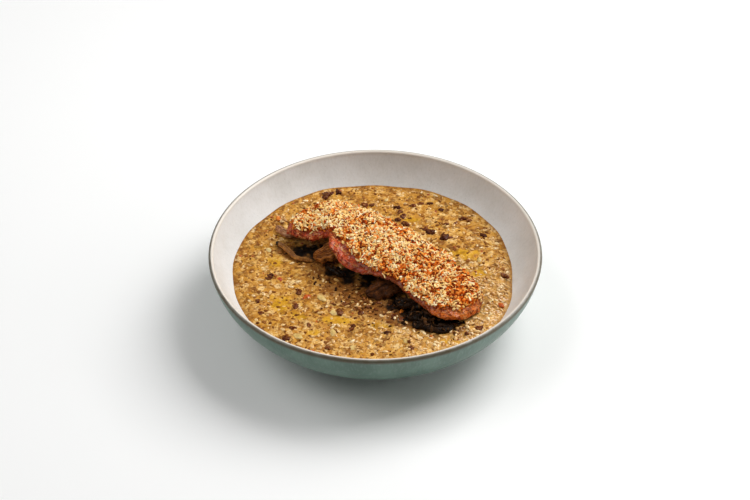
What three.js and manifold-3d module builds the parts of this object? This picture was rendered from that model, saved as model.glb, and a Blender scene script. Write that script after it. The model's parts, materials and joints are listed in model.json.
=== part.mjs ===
// A bowl of bacon risotto: a coupe bowl on a foot ring, risotto up to its level, fried mushroom
// slices half sunk in it, and one crumbed bacon rasher lying over them.
// Millimetres, +Z up. The origin is the middle of the foot's underside, and the diner sits on the -Y side.

import * as THREE from 'three';
import { mergeVertices } from 'three/addons/utils/BufferGeometryUtils.js';
import Module from 'manifold-3d';

const wasm = await Module();
wasm.setup();

// ---- driving dimensions -------------------------------------------------------------------------

// bowl
const RIM_RADIUS = 110;
const RIM_HEIGHT = 50;
const LIP_THICKNESS = 3.4;
const FOOT_OUTER_RADIUS = 60.5;
const FOOT_INNER_RADIUS = 54;
const FOOT_RECESS = 3;
const FOOT_HEIGHT = 4.5;
const FLOOR_HEIGHT = 8.5;
const FLOOR_RADIUS = 50;
const FOOT_EDGE = 0.8; // its bevel
const OUTER_BELLY = new THREE.Vector2(104, 14); // control point of the outer wall's curve
const INNER_BELLY = new THREE.Vector2(94, 14); // control point of the inner wall's curve
const BOWL_SEGMENTS = 44;
const WALL_STEPS = 8;

// risotto
const RISOTTO_LEVEL = 29.5;
const LEVEL_SWELL = 0.9; // slow rise and fall of the surface
const SWELL_LENGTHS = [17, 21, 11]; // of its waves along x, along y and across both
const FRONT_SWELL = { x: -45, y: -50, reachX: 40, reachY: 30 }; // where it stands a little fuller
const EDGE_WAVES = [[0.5, 3, 0.5], [0.3, 7, 0], [0.2, 17, 0]]; // height, waves in a turn, phase
const EDGE_DIP = { depth: 4.2, angle: 0.05, reach: 0.22 }; // it stands lower on the right
const GRAIN_RELIEF = 0.75; // height of the bumps that half sunk grains make
const SURFACE_RINGS = 22; // three points on the last ring for each segment of the bowl
const GRAIN_LENGTH = 6.4;
const GRAIN_WIDTH = 2.6;
const LOOSE_GRAINS = 16;
const LOOSE_FIELD_RADIUS = 88;
const DICE_HEIGHT = 3.4;
const WALL_GAP = 0.5; // round the faceted wall of the bowl
const TOUCH_GAP = 0.35; // between mushroom slices and what they lie on
const RASHER_GAP = 0.7; // round a coarser copy of the rasher, which leaves about half of it
const LOOSE_GAP = 1.5; // between loose pieces and what lies on the risotto
const RASHER_SHADE = 8; // how far off each line across the rasher they stay besides

// Mushroom dice that show from a step away: place and length.
const MUSHROOM_DICE = [
  [-35, 82, 9], [-26, 86, 5.5], [-7, 72, 5.5], [16, 69, 5], [26, 71, 5], [18, 60, 5], [21, 50, 6],
  [38, 41, 6.5], [48, 35, 6], [46, 66, 5], [61, 55, 5], [86, -5, 5], [-70, -5, 5], [-50, -22, 5],
  [-52, -37, 5], [-21, -43, 5.5], [-9, -45, 5], [-14, -58, 5], [-43, -56, 5], [-57, -68, 5],
  [-75, -37, 5], [7, -61, 5], [59, -63, 5], [22, -76, 5], [-30, -76, 5], [74, 38, 5],
];

// rasher
const RASHER_THICKNESS = 5;
const TIP_THICKNESS = 6.6;
const CRUMB_LAYER = 2.4;
const CRUMB_SIZE = 2.7;
const FUSED_CRUMBS = 42;
const BARE_EDGE = 0.3; // share of the half width along the near edge that has no crumbs
const RASHER_STATIONS = 38;
const RASHER_SIDES = 18;
const COARSE_STATIONS = 16;
const CORNER_ROUNDNESS = 0.6; // 1 gives an elliptical section, 0 a square one

// Stations from the narrow left tail to the broad right tip, in plan. The near edge steps back at the
// notch, where the rasher narrows into its tail.
const RASHER_PLAN = [
  { near: [-60, 27], far: [-59.5, 33] },
  { near: [-53, 23.5], far: [-55, 42] },
  { near: [-43, 20.5], far: [-46, 52] },
  { near: [-32.5, 22], far: [-34, 57] },
  { near: [-30, 4.5], far: [-20, 56] },
  { near: [-17, -11], far: [-2, 47] },
  { near: [0, -20], far: [15, 34] },
  { near: [15, -27], far: [32, 20] },
  { near: [28, -41], far: [48, 7] },
  { near: [42, -54], far: [60, -9] },
  { near: [57, -53], far: [68, -24] },
  { near: [68, -42], far: [70.5, -33] },
];
const NOTCH = 3.45 / 11; // along the rasher, as a share of its length

// mushroom slices
const SLICE_STATIONS = 8;
const SLICE_WAVE = 0.075; // uneven width along a slice

// Paths are x, y and height over the risotto. Slices come in the order in which they yield to each other.
const MUSHROOM_SLICES = {
  mushroom_fan: {
    path: [[-41, 11.5, 1.2], [-36, 12, 3.6], [-30, 13.5, 5.6], [-21, 16.5, 7.2], [-8, 21, 7.8]],
    width: 12, thickness: 7, ridges: 4, lean: 0.2, color: 0x7a4e2a,
  },
  mushroom_curl: {
    path: [[-67.5, 26.5, 2.6], [-64, 25, 2.6], [-59, 19.5, 2.2], [-53, 12, 1.8], [-42, 9, 1.2]],
    width: 3.5, thickness: 3.6, ridges: 1, lean: -0.3, color: 0xb98a4a,
  },
  mushroom_tail: {
    path: [[-68, 46, 0.8], [-65, 41.5, 2], [-60, 36, 3.4], [-51, 34, 5.2], [-38, 33, 7.4]],
    width: 6, thickness: 3.8, ridges: 2, lean: 0.1, color: 0xa8763f,
  },
  mushroom_strip: {
    path: [[-33, 4.5, 1], [-28, -0.5, 2.2], [-21, -6.5, 1]],
    width: 5.6, thickness: 4, ridges: 1, color: 0x4a2f18,
  },
  mushroom_cap: {
    path: [[-6, -26, 0.8], [2, -23.5, 3.6], [12, -18.5, 6], [23, -12, 6.6], [34, -5, 4]],
    width: 14, thickness: 6.6, ridges: 2, lean: 0.3, color: 0x5e4426,
  },
  mushroom_dark_left: {
    path: [[13, -33, 0.4], [18, -35.5, 2.4], [26, -37.5, 4.2], [35, -36, 4.8]],
    width: 8.4, thickness: 4.8, ridges: 3, lean: 0.4, color: 0x33261a,
  },
  mushroom_dark_middle: {
    path: [[20, -44, 0.8], [29, -48, 2.4], [39, -48.5, 3], [49, -44, 1.8]],
    width: 8.6, thickness: 4.6, ridges: 3, lean: 0.35, color: 0x241c14,
  },
  mushroom_dark_right: {
    path: [[24, -52, 0], [32, -56.5, 1.1], [42, -58.5, 1.2], [51, -56, 0.4]],
    width: 7, thickness: 4.4, ridges: 2, lean: 0.2, color: 0x2c231a,
  },
};

const random = seededRandom(20417);

// ---- helpers ------------------------------------------------------------------------------------

function seededRandom(seed) {
  let state = seed;
  return () => {
    state = (state + 0x6d2b79f5) | 0;
    let t = Math.imul(state ^ (state >>> 15), 1 | state);
    t = (t + Math.imul(t ^ (t >>> 7), 61 | t)) ^ t;
    return ((t ^ (t >>> 14)) >>> 0) / 4294967296;
  };
}

function between(low, high) {
  return low + (high - low) * random();
}

function smooth(low, high, value) {
  return THREE.MathUtils.smoothstep(value, low, high);
}

// One bump of height 1 round `middle`, fading out over about twice `reach`.
function hump(value, middle, reach) {
  return Math.exp(-(((value - middle) / reach) ** 2));
}

function indexed(points, faces) {
  const geometry = new THREE.BufferGeometry();
  geometry.setAttribute('position', new THREE.Float32BufferAttribute(points.flatMap((p) => p.toArray()), 3));
  geometry.setIndex(faces.flat());
  return geometry;
}

// A closed skin over rings of equal point counts, shut by a pole at each end. The rings turn clockwise
// for someone who looks from the start to the end.
function skinned(rings, startPole, endPole) {
  const count = rings[0].length;
  const points = [...rings.flat(), startPole, endPole];
  const [start, end] = [points.length - 2, points.length - 1];
  const faces = [];
  for (let i = 0; i < count; i += 1) {
    const next = (i + 1) % count;
    const last = (rings.length - 1) * count;
    faces.push([start, next, i], [end, last + i, last + next]);
    for (let row = 0; row + 1 < rings.length; row += 1) {
      const [low, high] = [row * count, (row + 1) * count];
      faces.push([low + i, low + next, high + i], [low + next, high + next, high + i]);
    }
  }
  return indexed(points, faces);
}

function toSolid(geometry) {
  const bare = geometry.clone();
  bare.deleteAttribute('normal');
  bare.deleteAttribute('uv');
  const merged = mergeVertices(bare, 1e-4);
  return new wasm.Manifold(
    new wasm.Mesh({
      numProp: 3,
      vertProperties: Float32Array.from(merged.attributes.position.array),
      triVerts: Uint32Array.from(merged.index.array),
    }),
  );
}

function toGeometry(solid) {
  const mesh = solid.getMesh();
  const geometry = new THREE.BufferGeometry();
  geometry.setAttribute('position', new THREE.BufferAttribute(Float32Array.from(mesh.vertProperties), 3));
  geometry.setIndex(new THREE.BufferAttribute(Uint32Array.from(mesh.triVerts), 1));
  geometry.computeVertexNormals();
  return geometry;
}

// The same skin pushed outwards, which is cut from whatever lies against the piece.
function clearanceOf(geometry, distance) {
  const grown = geometry.clone();
  grown.computeVertexNormals();
  const { position, normal } = grown.attributes;
  for (let i = 0; i < position.count; i += 1) {
    position.setXYZ(
      i,
      position.getX(i) + distance * normal.getX(i),
      position.getY(i) + distance * normal.getY(i),
      position.getZ(i) + distance * normal.getZ(i),
    );
  }
  return toSolid(grown);
}

// Cutting may leave scraps beside the piece: only its largest body is kept.
function largestBody(solid) {
  const bodies = solid.decompose();
  return bodies.reduce((best, body) => (body.volume() > best.volume() ? body : best));
}

// ---- bowl ---------------------------------------------------------------------------------------

function outerWall(steps) {
  const lipTop = new THREE.Vector2(RIM_RADIUS, RIM_HEIGHT - LIP_THICKNESS / 2);
  const foot = new THREE.Vector2(FOOT_OUTER_RADIUS, FOOT_HEIGHT);
  return new THREE.QuadraticBezierCurve(foot, OUTER_BELLY, lipTop).getPoints(steps);
}

// The inner wall from the lip down to the floor, moved `gap` into the bowl's hollow.
function innerWall(steps, gap = 0) {
  const lipTop = new THREE.Vector2(RIM_RADIUS - LIP_THICKNESS, RIM_HEIGHT - LIP_THICKNESS / 2);
  const floor = new THREE.Vector2(FLOOR_RADIUS, FLOOR_HEIGHT);
  const curve = new THREE.QuadraticBezierCurve(lipTop, INNER_BELLY, floor);
  return curve.getPoints(steps).map((point, i) => {
    const tangent = curve.getTangent(i / steps);
    return new THREE.Vector2(point.x + gap * tangent.y, point.y - gap * tangent.x);
  });
}

function lipArc(steps) {
  const half = LIP_THICKNESS / 2;
  const arc = [];
  for (let i = 1; i < steps; i += 1) {
    const angle = (Math.PI * i) / steps;
    const [out, up] = [half * Math.cos(angle), half * Math.sin(angle)];
    arc.push(new THREE.Vector2(RIM_RADIUS - half + out, RIM_HEIGHT - half + up));
  }
  return arc;
}

const innerProfile = innerWall(WALL_STEPS);

function bowlGeometry() {
  const profile = [
    new THREE.Vector2(0, FOOT_RECESS),
    new THREE.Vector2(FOOT_INNER_RADIUS, FOOT_RECESS),
    new THREE.Vector2(FOOT_INNER_RADIUS + FOOT_EDGE, 0),
    new THREE.Vector2(FOOT_OUTER_RADIUS - FOOT_EDGE, 0),
    ...outerWall(WALL_STEPS),
    ...lipArc(4),
    ...innerProfile,
    new THREE.Vector2(0, FLOOR_HEIGHT),
  ];
  const geometry = new THREE.LatheGeometry(profile, BOWL_SEGMENTS);
  geometry.rotateX(Math.PI / 2);
  return geometry;
}

// Inner radius of the bowl's wall at a height above its floor.
function wallRadius(height) {
  for (let i = 0; i + 1 < innerProfile.length; i += 1) {
    const [high, low] = [innerProfile[i], innerProfile[i + 1]];
    if (height <= high.y && height >= low.y) {
      return THREE.MathUtils.mapLinear(height, low.y, high.y, low.x, high.x);
    }
  }
  return FLOOR_RADIUS;
}

// ---- risotto ------------------------------------------------------------------------------------

function surfaceHeight(x, y) {
  const [lengthX, lengthY, lengthBoth] = SWELL_LENGTHS;
  const slow = Math.sin(x / lengthX + 1.3) * Math.cos(y / lengthY) + 0.6 * Math.sin((x + y) / lengthBoth);
  const front = hump(x, FRONT_SWELL.x, FRONT_SWELL.reachX) * hump(y, FRONT_SWELL.y, FRONT_SWELL.reachY);
  return RISOTTO_LEVEL + LEVEL_SWELL * (0.5 * slow + 0.6 * front);
}

function edgeHeight(angle) {
  let waves = 0;
  for (const [height, count, phase] of EDGE_WAVES) {
    waves += height * Math.sin(count * angle + phase);
  }
  const dip = EDGE_DIP.depth * hump(Math.sin((angle - EDGE_DIP.angle) / 2), 0, EDGE_DIP.reach);
  return RISOTTO_LEVEL + waves - dip;
}

// Rings of 6, 12, 18... points, so that the triangles stay even out to the wall.
function risottoCore() {
  const points = [new THREE.Vector3(0, 0, RISOTTO_LEVEL)];
  const faces = [];
  const ringStart = (ring) => (ring === 0 ? 0 : 1 + 3 * ring * (ring - 1));
  for (let ring = 1; ring <= SURFACE_RINGS; ring += 1) {
    const edgeShare = smooth(0.86, 1, ring / SURFACE_RINGS);
    for (let i = 0; i < 6 * ring; i += 1) {
      const angle = (Math.PI * i) / (3 * ring);
      const rim = wallRadius(edgeHeight(angle)) - WALL_GAP;
      const radius = (rim * ring) / SURFACE_RINGS;
      const [x, y] = [radius * Math.cos(angle), radius * Math.sin(angle)];
      const inside = surfaceHeight(x, y) + between(-GRAIN_RELIEF, GRAIN_RELIEF);
      points.push(new THREE.Vector3(x, y, THREE.MathUtils.lerp(inside, edgeHeight(angle), edgeShare)));
    }
  }
  for (let ring = 0; ring < SURFACE_RINGS; ring += 1) {
    const [inner, outer] = [ringStart(ring), ringStart(ring + 1)];
    for (let sector = 0; sector < 6; sector += 1) {
      for (let i = 0; i <= ring; i += 1) {
        const a = inner + (ring === 0 ? 0 : (sector * ring + i) % (6 * ring));
        const b = outer + ((sector * (ring + 1) + i) % (6 * (ring + 1)));
        const c = outer + ((sector * (ring + 1) + i + 1) % (6 * (ring + 1)));
        faces.push([a, b, c]);
        if (i < ring) {
          faces.push([a, c, inner + ((sector * ring + i + 1) % (6 * ring))]);
        }
      }
    }
  }
  addUnderside(points, faces, ringStart(SURFACE_RINGS));
  return indexed(points, faces);
}

// The sides and bottom of the risotto follow the bowl, with a third of the surface's points round.
function addUnderside(points, faces, edgeStart) {
  const edgeCount = 6 * SURFACE_RINGS;
  const share = edgeCount / BOWL_SEGMENTS;
  const rows = innerWall(WALL_STEPS, WALL_GAP).filter((p) => p.y < RISOTTO_LEVEL - 3);
  const rowStart = points.length;
  for (const row of rows) {
    for (let i = 0; i < BOWL_SEGMENTS; i += 1) {
      const angle = (2 * Math.PI * i) / BOWL_SEGMENTS;
      points.push(new THREE.Vector3(row.x * Math.cos(angle), row.x * Math.sin(angle), row.y));
    }
  }
  for (let i = 0; i < BOWL_SEGMENTS; i += 1) {
    const next = (i + 1) % BOWL_SEGMENTS;
    for (let k = 0; k < share; k += 1) {
      faces.push([edgeStart + i * share + k, rowStart + i, edgeStart + ((i * share + k + 1) % edgeCount)]);
    }
    faces.push([edgeStart + next * share, rowStart + i, rowStart + next]);
    for (let row = 0; row + 1 < rows.length; row += 1) {
      const [high, low] = [rowStart + row * BOWL_SEGMENTS, rowStart + (row + 1) * BOWL_SEGMENTS];
      faces.push([high + i, low + i, high + next], [high + next, low + i, low + next]);
    }
  }
  const lastRow = rowStart + (rows.length - 1) * BOWL_SEGMENTS;
  points.push(new THREE.Vector3(0, 0, FLOOR_HEIGHT + WALL_GAP));
  for (let i = 0; i < BOWL_SEGMENTS; i += 1) {
    faces.push([lastRow + i, points.length - 1, lastRow + ((i + 1) % BOWL_SEGMENTS)]);
  }
}

// An uneven lump with twenty faces, half sunk where it lies.
function lump(x, y, z, length, width, height, turn) {
  const geometry = new THREE.IcosahedronGeometry(0.5, 0);
  geometry.deleteAttribute('normal');
  geometry.deleteAttribute('uv');
  const whole = mergeVertices(geometry);
  const { position } = whole.attributes;
  for (let i = 0; i < position.count; i += 1) {
    const uneven = between(0.85, 1.15);
    position.setXYZ(i, position.getX(i) * uneven, position.getY(i) * uneven, position.getZ(i) * uneven);
  }
  whole.scale(length, width, height);
  whole.rotateZ(turn);
  whole.translate(x, y, z);
  return toSolid(whole);
}

function fusedDice(keepOff) {
  return MUSHROOM_DICE.filter(([x, y, length]) => !keepOff(x, y, length)).map(([x, y, length]) => {
    const width = length * between(0.6, 0.85);
    return lump(x, y, surfaceHeight(x, y) + 0.4, length, width, DICE_HEIGHT, between(0, Math.PI));
  });
}

function fusedGrains(keepOff) {
  const grains = [];
  while (grains.length < LOOSE_GRAINS) {
    const radius = LOOSE_FIELD_RADIUS * Math.sqrt(random());
    const angle = between(0, 2 * Math.PI);
    const [x, y] = [radius * Math.cos(angle), radius * Math.sin(angle)];
    if (!keepOff(x, y, GRAIN_LENGTH) && !MUSHROOM_DICE.some(([u, v]) => Math.hypot(x - u, y - v) < 8)) {
      const height = surfaceHeight(x, y) + 0.3;
      grains.push(lump(x, y, height, GRAIN_LENGTH, GRAIN_WIDTH, GRAIN_WIDTH, between(0, Math.PI)));
    }
  }
  return grains;
}

// ---- rasher -------------------------------------------------------------------------------------

function edgeCurve(side) {
  return new THREE.CatmullRomCurve3(RASHER_PLAN.map((station) => new THREE.Vector3(...station[side], 0)));
}

const nearEdge = edgeCurve('near');
const farEdge = edgeCurve('far');

// Height of the underside over the risotto: `along` runs 0..1 tail to tip, `across` -1..1 near to far.
function undersideHeight(along, across) {
  const ridge = 9 + 4 * smooth(0, 0.3, along) - 10.2 * smooth(0.5, 0.98, along);
  const arched = (1 - 0.75 * smooth(0.6, 1, along)) * smooth(0, 0.15, along);
  const arch = (across < 0 ? 3.4 : 4.2) * across ** 2 * arched;
  const ripple = 0.7 * Math.sin(along * 24) * (1 - 0.5 * across);
  const rolled = 4.2 * hump(along, NOTCH + 0.05, 0.045) * hump(across, -1, 0.4);
  return RISOTTO_LEVEL + ridge - arch + ripple + rolled;
}

function slabThickness(along) {
  const body = THREE.MathUtils.lerp(RASHER_THICKNESS, TIP_THICKNESS, smooth(0.75, 1, along));
  const ends = smooth(-0.02, 0.05, along) * smooth(-0.02, 0.06, 1 - along);
  return body * (0.35 + 0.65 * ends);
}

// 1 where crumbs cover the rasher, 0 on its bare near edge and at its ends.
function crumbShare(along, across) {
  const sideways = smooth(-1, -1 + BARE_EDGE, across - 0.06) * (1 - smooth(0.86, 1, across));
  return sideways * smooth(0.02, 0.09, along) * (1 - smooth(0.93, 1, along));
}

function rasherPoint(along, across, lift) {
  const plan = nearEdge.getPoint(along).lerp(farEdge.getPoint(along), (across + 1) / 2);
  return plan.setZ(undersideHeight(along, across) + lift);
}

function rasherSection(along, crumbs) {
  const section = [];
  for (let i = 0; i < RASHER_SIDES; i += 1) {
    const angle = (2 * Math.PI * i) / RASHER_SIDES;
    const [c, s] = [Math.cos(angle), Math.sin(angle)];
    const across = Math.sign(c) * Math.abs(c) ** CORNER_ROUNDNESS;
    const upright = Math.sign(s) * Math.abs(s) ** CORNER_ROUNDNESS;
    const cover = s > 0 ? crumbs * crumbShare(along, across) * between(0.55, 1.15) : 0;
    const lift = (slabThickness(along) * (1 + upright)) / 2 + cover;
    section.push(rasherPoint(along, across, lift));
  }
  return section;
}

function rasherSkin(stations, crumbs) {
  const sections = [];
  for (let i = 0; i < stations; i += 1) {
    sections.push(rasherSection((i + 0.15) / (stations - 0.7), crumbs));
  }
  const middle = (along) => rasherPoint(along, 0, slabThickness(along) / 2);
  return skinned(sections, middle(0), middle(1));
}

function fusedCrumbs() {
  const crumbs = [];
  for (let i = 0; i < FUSED_CRUMBS; i += 1) {
    // An even walk along the rasher and a golden-ratio walk across it.
    const along = 0.05 + (0.9 * (i + 0.5)) / FUSED_CRUMBS;
    const across = -0.62 + 1.42 * ((i * 0.618 + 0.2) % 1);
    const lift = slabThickness(along) + CRUMB_LAYER * 0.8 * crumbShare(along, across);
    const { x, y, z } = rasherPoint(along, across, lift);
    const size = CRUMB_SIZE * between(0.85, 1.35);
    crumbs.push(lump(x, y, z, size * 1.3, size, size, between(0, Math.PI)));
  }
  return crumbs;
}

// ---- mushroom slices ----------------------------------------------------------------------------

// A slice swept along a path: domed below, with gill ridges along its upper side.
function mushroomSkin({ path, width, thickness, ridges, lean = 0 }) {
  const points = path.map(([x, y, z]) => new THREE.Vector3(x, y, RISOTTO_LEVEL + z));
  const curve = new THREE.CatmullRomCurve3(points);
  const up = new THREE.Vector3(0, 0, 1);
  const outline = sliceSection(ridges);
  const sections = [];
  for (let i = 0; i < SLICE_STATIONS; i += 1) {
    const along = (i + 0.25) / (SLICE_STATIONS - 0.5);
    const forward = curve.getTangent(along);
    const side = new THREE.Vector3().crossVectors(up, forward).normalize().applyAxisAngle(forward, lean);
    const normal = new THREE.Vector3().crossVectors(forward, side);
    const swell = Math.sqrt(1 - Math.abs(2 * along - 1) ** 3) + SLICE_WAVE * Math.sin(i * 2.1);
    const middle = curve.getPoint(along);
    sections.push(
      outline.map(({ x, y }) =>
        middle
          .clone()
          .addScaledVector(side, -x * 0.5 * width * swell)
          .addScaledVector(normal, y * 0.5 * thickness * (0.4 + 0.6 * swell)),
      ),
    );
  }
  return skinned(sections, curve.getPoint(0), curve.getPoint(1));
}

// One turn round the slice's section in a square of side 2, gills on top.
function sliceSection(ridges) {
  const section = [];
  const teeth = 2 * ridges;
  for (let i = 0; i <= teeth; i += 1) {
    const x = -0.86 + (1.72 * i) / teeth;
    section.push(new THREE.Vector2(x, (i % 2 ? 1 : 0.62) * (1 - 0.35 * x * x)));
  }
  section.push(new THREE.Vector2(1, 0), new THREE.Vector2(0.75, -0.7), new THREE.Vector2(0, -1));
  section.push(new THREE.Vector2(-0.75, -0.7), new THREE.Vector2(-1, 0));
  return section;
}

// ---- assembly -----------------------------------------------------------------------------------

const rasherBody = rasherSkin(RASHER_STATIONS, CRUMB_LAYER);
const rasher = largestBody(wasm.Manifold.union([toSolid(rasherBody), ...fusedCrumbs()]));
const rasherClearance = clearanceOf(rasherSkin(COARSE_STATIONS, 0), RASHER_GAP);

const slices = [];
let taken = rasherClearance;
for (const [name, shape] of Object.entries(MUSHROOM_SLICES)) {
  const skin = mushroomSkin(shape);
  slices.push({ name, color: shape.color, solid: largestBody(toSolid(skin).subtract(taken)) });
  taken = taken.add(clearanceOf(skin, TOUCH_GAP));
}

// Loose pieces stay off everything that lies on the risotto.
const lyingPoints = [rasherBody, ...Object.values(MUSHROOM_SLICES).map(mushroomSkin)].flatMap((skin) => {
  const { position } = skin.attributes;
  const nth = (_, i) => new THREE.Vector3().fromBufferAttribute(position, i);
  return Array.from({ length: position.count }, nth);
});

function underToppings(x, y, length) {
  const reach = length / 2 + LOOSE_GAP;
  return (
    lyingPoints.some((p) => Math.hypot(p.x - x, p.y - y) < reach) ||
    RASHER_PLAN.some(({ near, far }) => nearSegment(x, y, near, far, RASHER_SHADE + reach)) ||
    Math.hypot(x, y) + reach > wallRadius(RISOTTO_LEVEL - 1)
  );
}

function nearSegment(x, y, [x0, y0], [x1, y1], reach) {
  const line = new THREE.Line3(new THREE.Vector3(x0, y0, 0), new THREE.Vector3(x1, y1, 0));
  const point = new THREE.Vector3(x, y, 0);
  return line.closestPointToPoint(point, true, new THREE.Vector3()).distanceTo(point) < reach;
}

const risotto = largestBody(
  wasm.Manifold.union([
    toSolid(risottoCore()).subtract(taken),
    ...fusedDice(underToppings),
    ...fusedGrains(underToppings),
  ]),
);

const dish = new THREE.Group();

function addPiece(name, geometry, color, roughness) {
  const mesh = new THREE.Mesh(geometry, new THREE.MeshStandardMaterial({ color, roughness, metalness: 0 }));
  mesh.name = name;
  dish.add(mesh);
}

addPiece('bowl', bowlGeometry(), 0x8fa39b, 0.35);
addPiece('risotto', toGeometry(risotto), 0xbe8c50, 0.4);
addPiece('bacon_rasher', toGeometry(rasher), 0xc2703c, 0.5);
for (const { name, color, solid } of slices) {
  addPiece(name, toGeometry(solid), color, 0.4);
}

export default dish;
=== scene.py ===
"""The looks of a bowl of bacon risotto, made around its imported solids.

Sizes are in millimetres with +Z up, and meshes become metres when they are made.
The diner sits on the -Y side.
"""

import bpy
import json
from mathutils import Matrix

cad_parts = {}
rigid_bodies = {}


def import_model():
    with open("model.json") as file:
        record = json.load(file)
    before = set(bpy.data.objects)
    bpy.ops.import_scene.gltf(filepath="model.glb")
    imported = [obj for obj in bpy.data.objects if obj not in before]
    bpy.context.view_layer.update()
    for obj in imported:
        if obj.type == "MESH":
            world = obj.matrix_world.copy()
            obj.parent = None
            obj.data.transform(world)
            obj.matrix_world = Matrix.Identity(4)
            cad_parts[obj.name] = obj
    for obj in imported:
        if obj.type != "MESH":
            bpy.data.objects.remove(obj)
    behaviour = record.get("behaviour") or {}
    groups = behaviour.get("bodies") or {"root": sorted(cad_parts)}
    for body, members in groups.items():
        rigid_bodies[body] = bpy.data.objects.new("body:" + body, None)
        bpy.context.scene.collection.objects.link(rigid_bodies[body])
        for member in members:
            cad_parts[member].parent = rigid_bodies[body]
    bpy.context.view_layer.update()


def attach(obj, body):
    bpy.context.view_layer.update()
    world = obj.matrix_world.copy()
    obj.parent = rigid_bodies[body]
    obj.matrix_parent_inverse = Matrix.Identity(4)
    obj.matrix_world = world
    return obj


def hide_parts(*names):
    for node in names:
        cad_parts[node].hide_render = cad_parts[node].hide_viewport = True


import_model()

import json
import logging
import math
from collections.abc import Callable, Sequence
from dataclasses import dataclass, field
from enum import Enum

import bpy
import numpy as np
from mathutils import Vector
from mathutils.bvhtree import BVHTree

MM = 0.001
PER_CM2 = 1e4  # one on a square centimetre, as a density on a square metre
UP = np.array([0.0, 0.0, 1.0])
log = logging.getLogger("risotto")

Array = np.ndarray
Colour = tuple[float, float, float, float]


class Slot(Enum):
    """The record's material slots."""

    STONEWARE = "glazed_stoneware"
    RISOTTO = "risotto"
    BACON = "crumbed_bacon"
    MUSHROOM = "fried_mushroom"
    DARK_MUSHROOM = "dark_mushroom"


# ---- arithmetic on numbers ----


def rgb(red: float, green: float, blue: float) -> Colour:
    """Turns a colour as a screen shows it, 0 to 255, into the linear one that a shader takes."""
    linear = [((c / 255 + 0.055) / 1.055) ** 2.4 if c > 10 else c / 255 / 12.92 for c in (red, green, blue)]
    return (linear[0], linear[1], linear[2], 1.0)


def smooth(low: float, high: float, value: Array | float) -> Array | float:
    """Rises smoothly from 0 at low to 1 at high."""
    share = np.clip((value - low) / (high - low), 0.0, 1.0)
    return share * share * (3.0 - 2.0 * share)


def hump(value: Array | float, middle: float, reach: float) -> Array | float:
    """One bump of height 1 round middle, fading out over about twice reach."""
    return np.exp(-(((value - middle) / reach) ** 2))


def unit(vectors: Array) -> Array:
    """Scales each vector of the last axis to length 1."""
    return vectors / np.maximum(np.linalg.norm(vectors, axis=-1, keepdims=True), 1e-9)


class Waviness:
    """Smooth random heights over a plane, from -1 to 1, the same each run."""

    SIDE = 256  # points along a side of the lattice

    def __init__(self, seed: int, cell: float) -> None:
        """Draws the heights of a lattice.

        Args:
            seed: picks the lattice.
            cell: distance between its points.
        """
        self.cell = cell
        self.lattice = np.random.default_rng(seed).uniform(-1.0, 1.0, (self.SIDE, self.SIDE))

    def __call__(self, x: Array, y: Array) -> Array:
        """Gives the height at each point."""
        u, v = x / self.cell + self.SIDE / 2, y / self.cell + self.SIDE / 2
        i, j = np.floor(u).astype(int), np.floor(v).astype(int)
        fu, fv = smooth(0.0, 1.0, u - i), smooth(0.0, 1.0, v - j)
        left, right = i % self.SIDE, (i + 1) % self.SIDE
        lower, upper = (
            self.lattice[left, row] * (1 - fu) + self.lattice[right, row] * fu
            for row in (j % self.SIDE, (j + 1) % self.SIDE)
        )
        return lower * (1 - fv) + upper * fv


def bend(start: Sequence[float], corner: Sequence[float], end: Sequence[float], count: int) -> Array:
    """Gives count points of the curve that leaves start and reaches end along lines to corner."""
    t = np.linspace(0.0, 1.0, count)[:, None]
    return (1 - t) ** 2 * np.array(start) + 2 * t * (1 - t) * np.array(corner) + t**2 * np.array(end)


class Route:
    """A smooth centripetal curve through given points."""

    def __init__(self, points: Sequence[Sequence[float]]) -> None:
        """Keeps the points, with one more past each end."""
        through = np.array(points, float)
        self.points = np.vstack([2 * through[0] - through[1], through, 2 * through[-1] - through[-2]])

    def at(self, share: Array) -> Array:
        """Gives the points at shares of the way, 0 to 1."""
        spans = len(self.points) - 3
        place = np.clip(np.asarray(share, float), 0.0, 1.0) * spans
        first = np.minimum(place.astype(int), spans - 1)
        p0, p1, p2, p3 = (self.points[first + k] for k in range(4))
        chords = ((p0, p1), (p1, p2), (p2, p3))
        d0, d1, d2 = (np.linalg.norm(b - a, axis=-1, keepdims=True) ** 0.5 for a, b in chords)
        leave = ((p1 - p0) / d0 - (p2 - p0) / (d0 + d1) + (p2 - p1) / d1) * d1
        arrive = ((p2 - p1) / d1 - (p3 - p1) / (d1 + d2) + (p3 - p2) / d2) * d1
        t = (place - first)[..., None]
        square = (-3 * p1 + 3 * p2 - 2 * leave - arrive) * t**2
        return p1 + leave * t + square + (2 * p1 - 2 * p2 + leave + arrive) * t**3

    def direction(self, share: Array) -> Array:
        """Gives the unit directions at shares of the way."""
        step = 1e-4
        return unit(self.at(share + step) - self.at(share - step))


# ---- meshes ----


def placed(name: str, data: bpy.types.ID) -> bpy.types.Object:
    """Makes an object of a mesh, light or camera, at the origin of the scene."""
    made = bpy.data.objects.new(name, data)
    bpy.context.scene.collection.objects.link(made)
    return made


def ray_tree(piece: bpy.types.Object) -> BVHTree:
    """Gives a piece's mesh as a tree that rays can be cast at."""
    mesh = piece.data
    return BVHTree.FromPolygons([v.co for v in mesh.vertices], [p.vertices for p in mesh.polygons])


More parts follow.
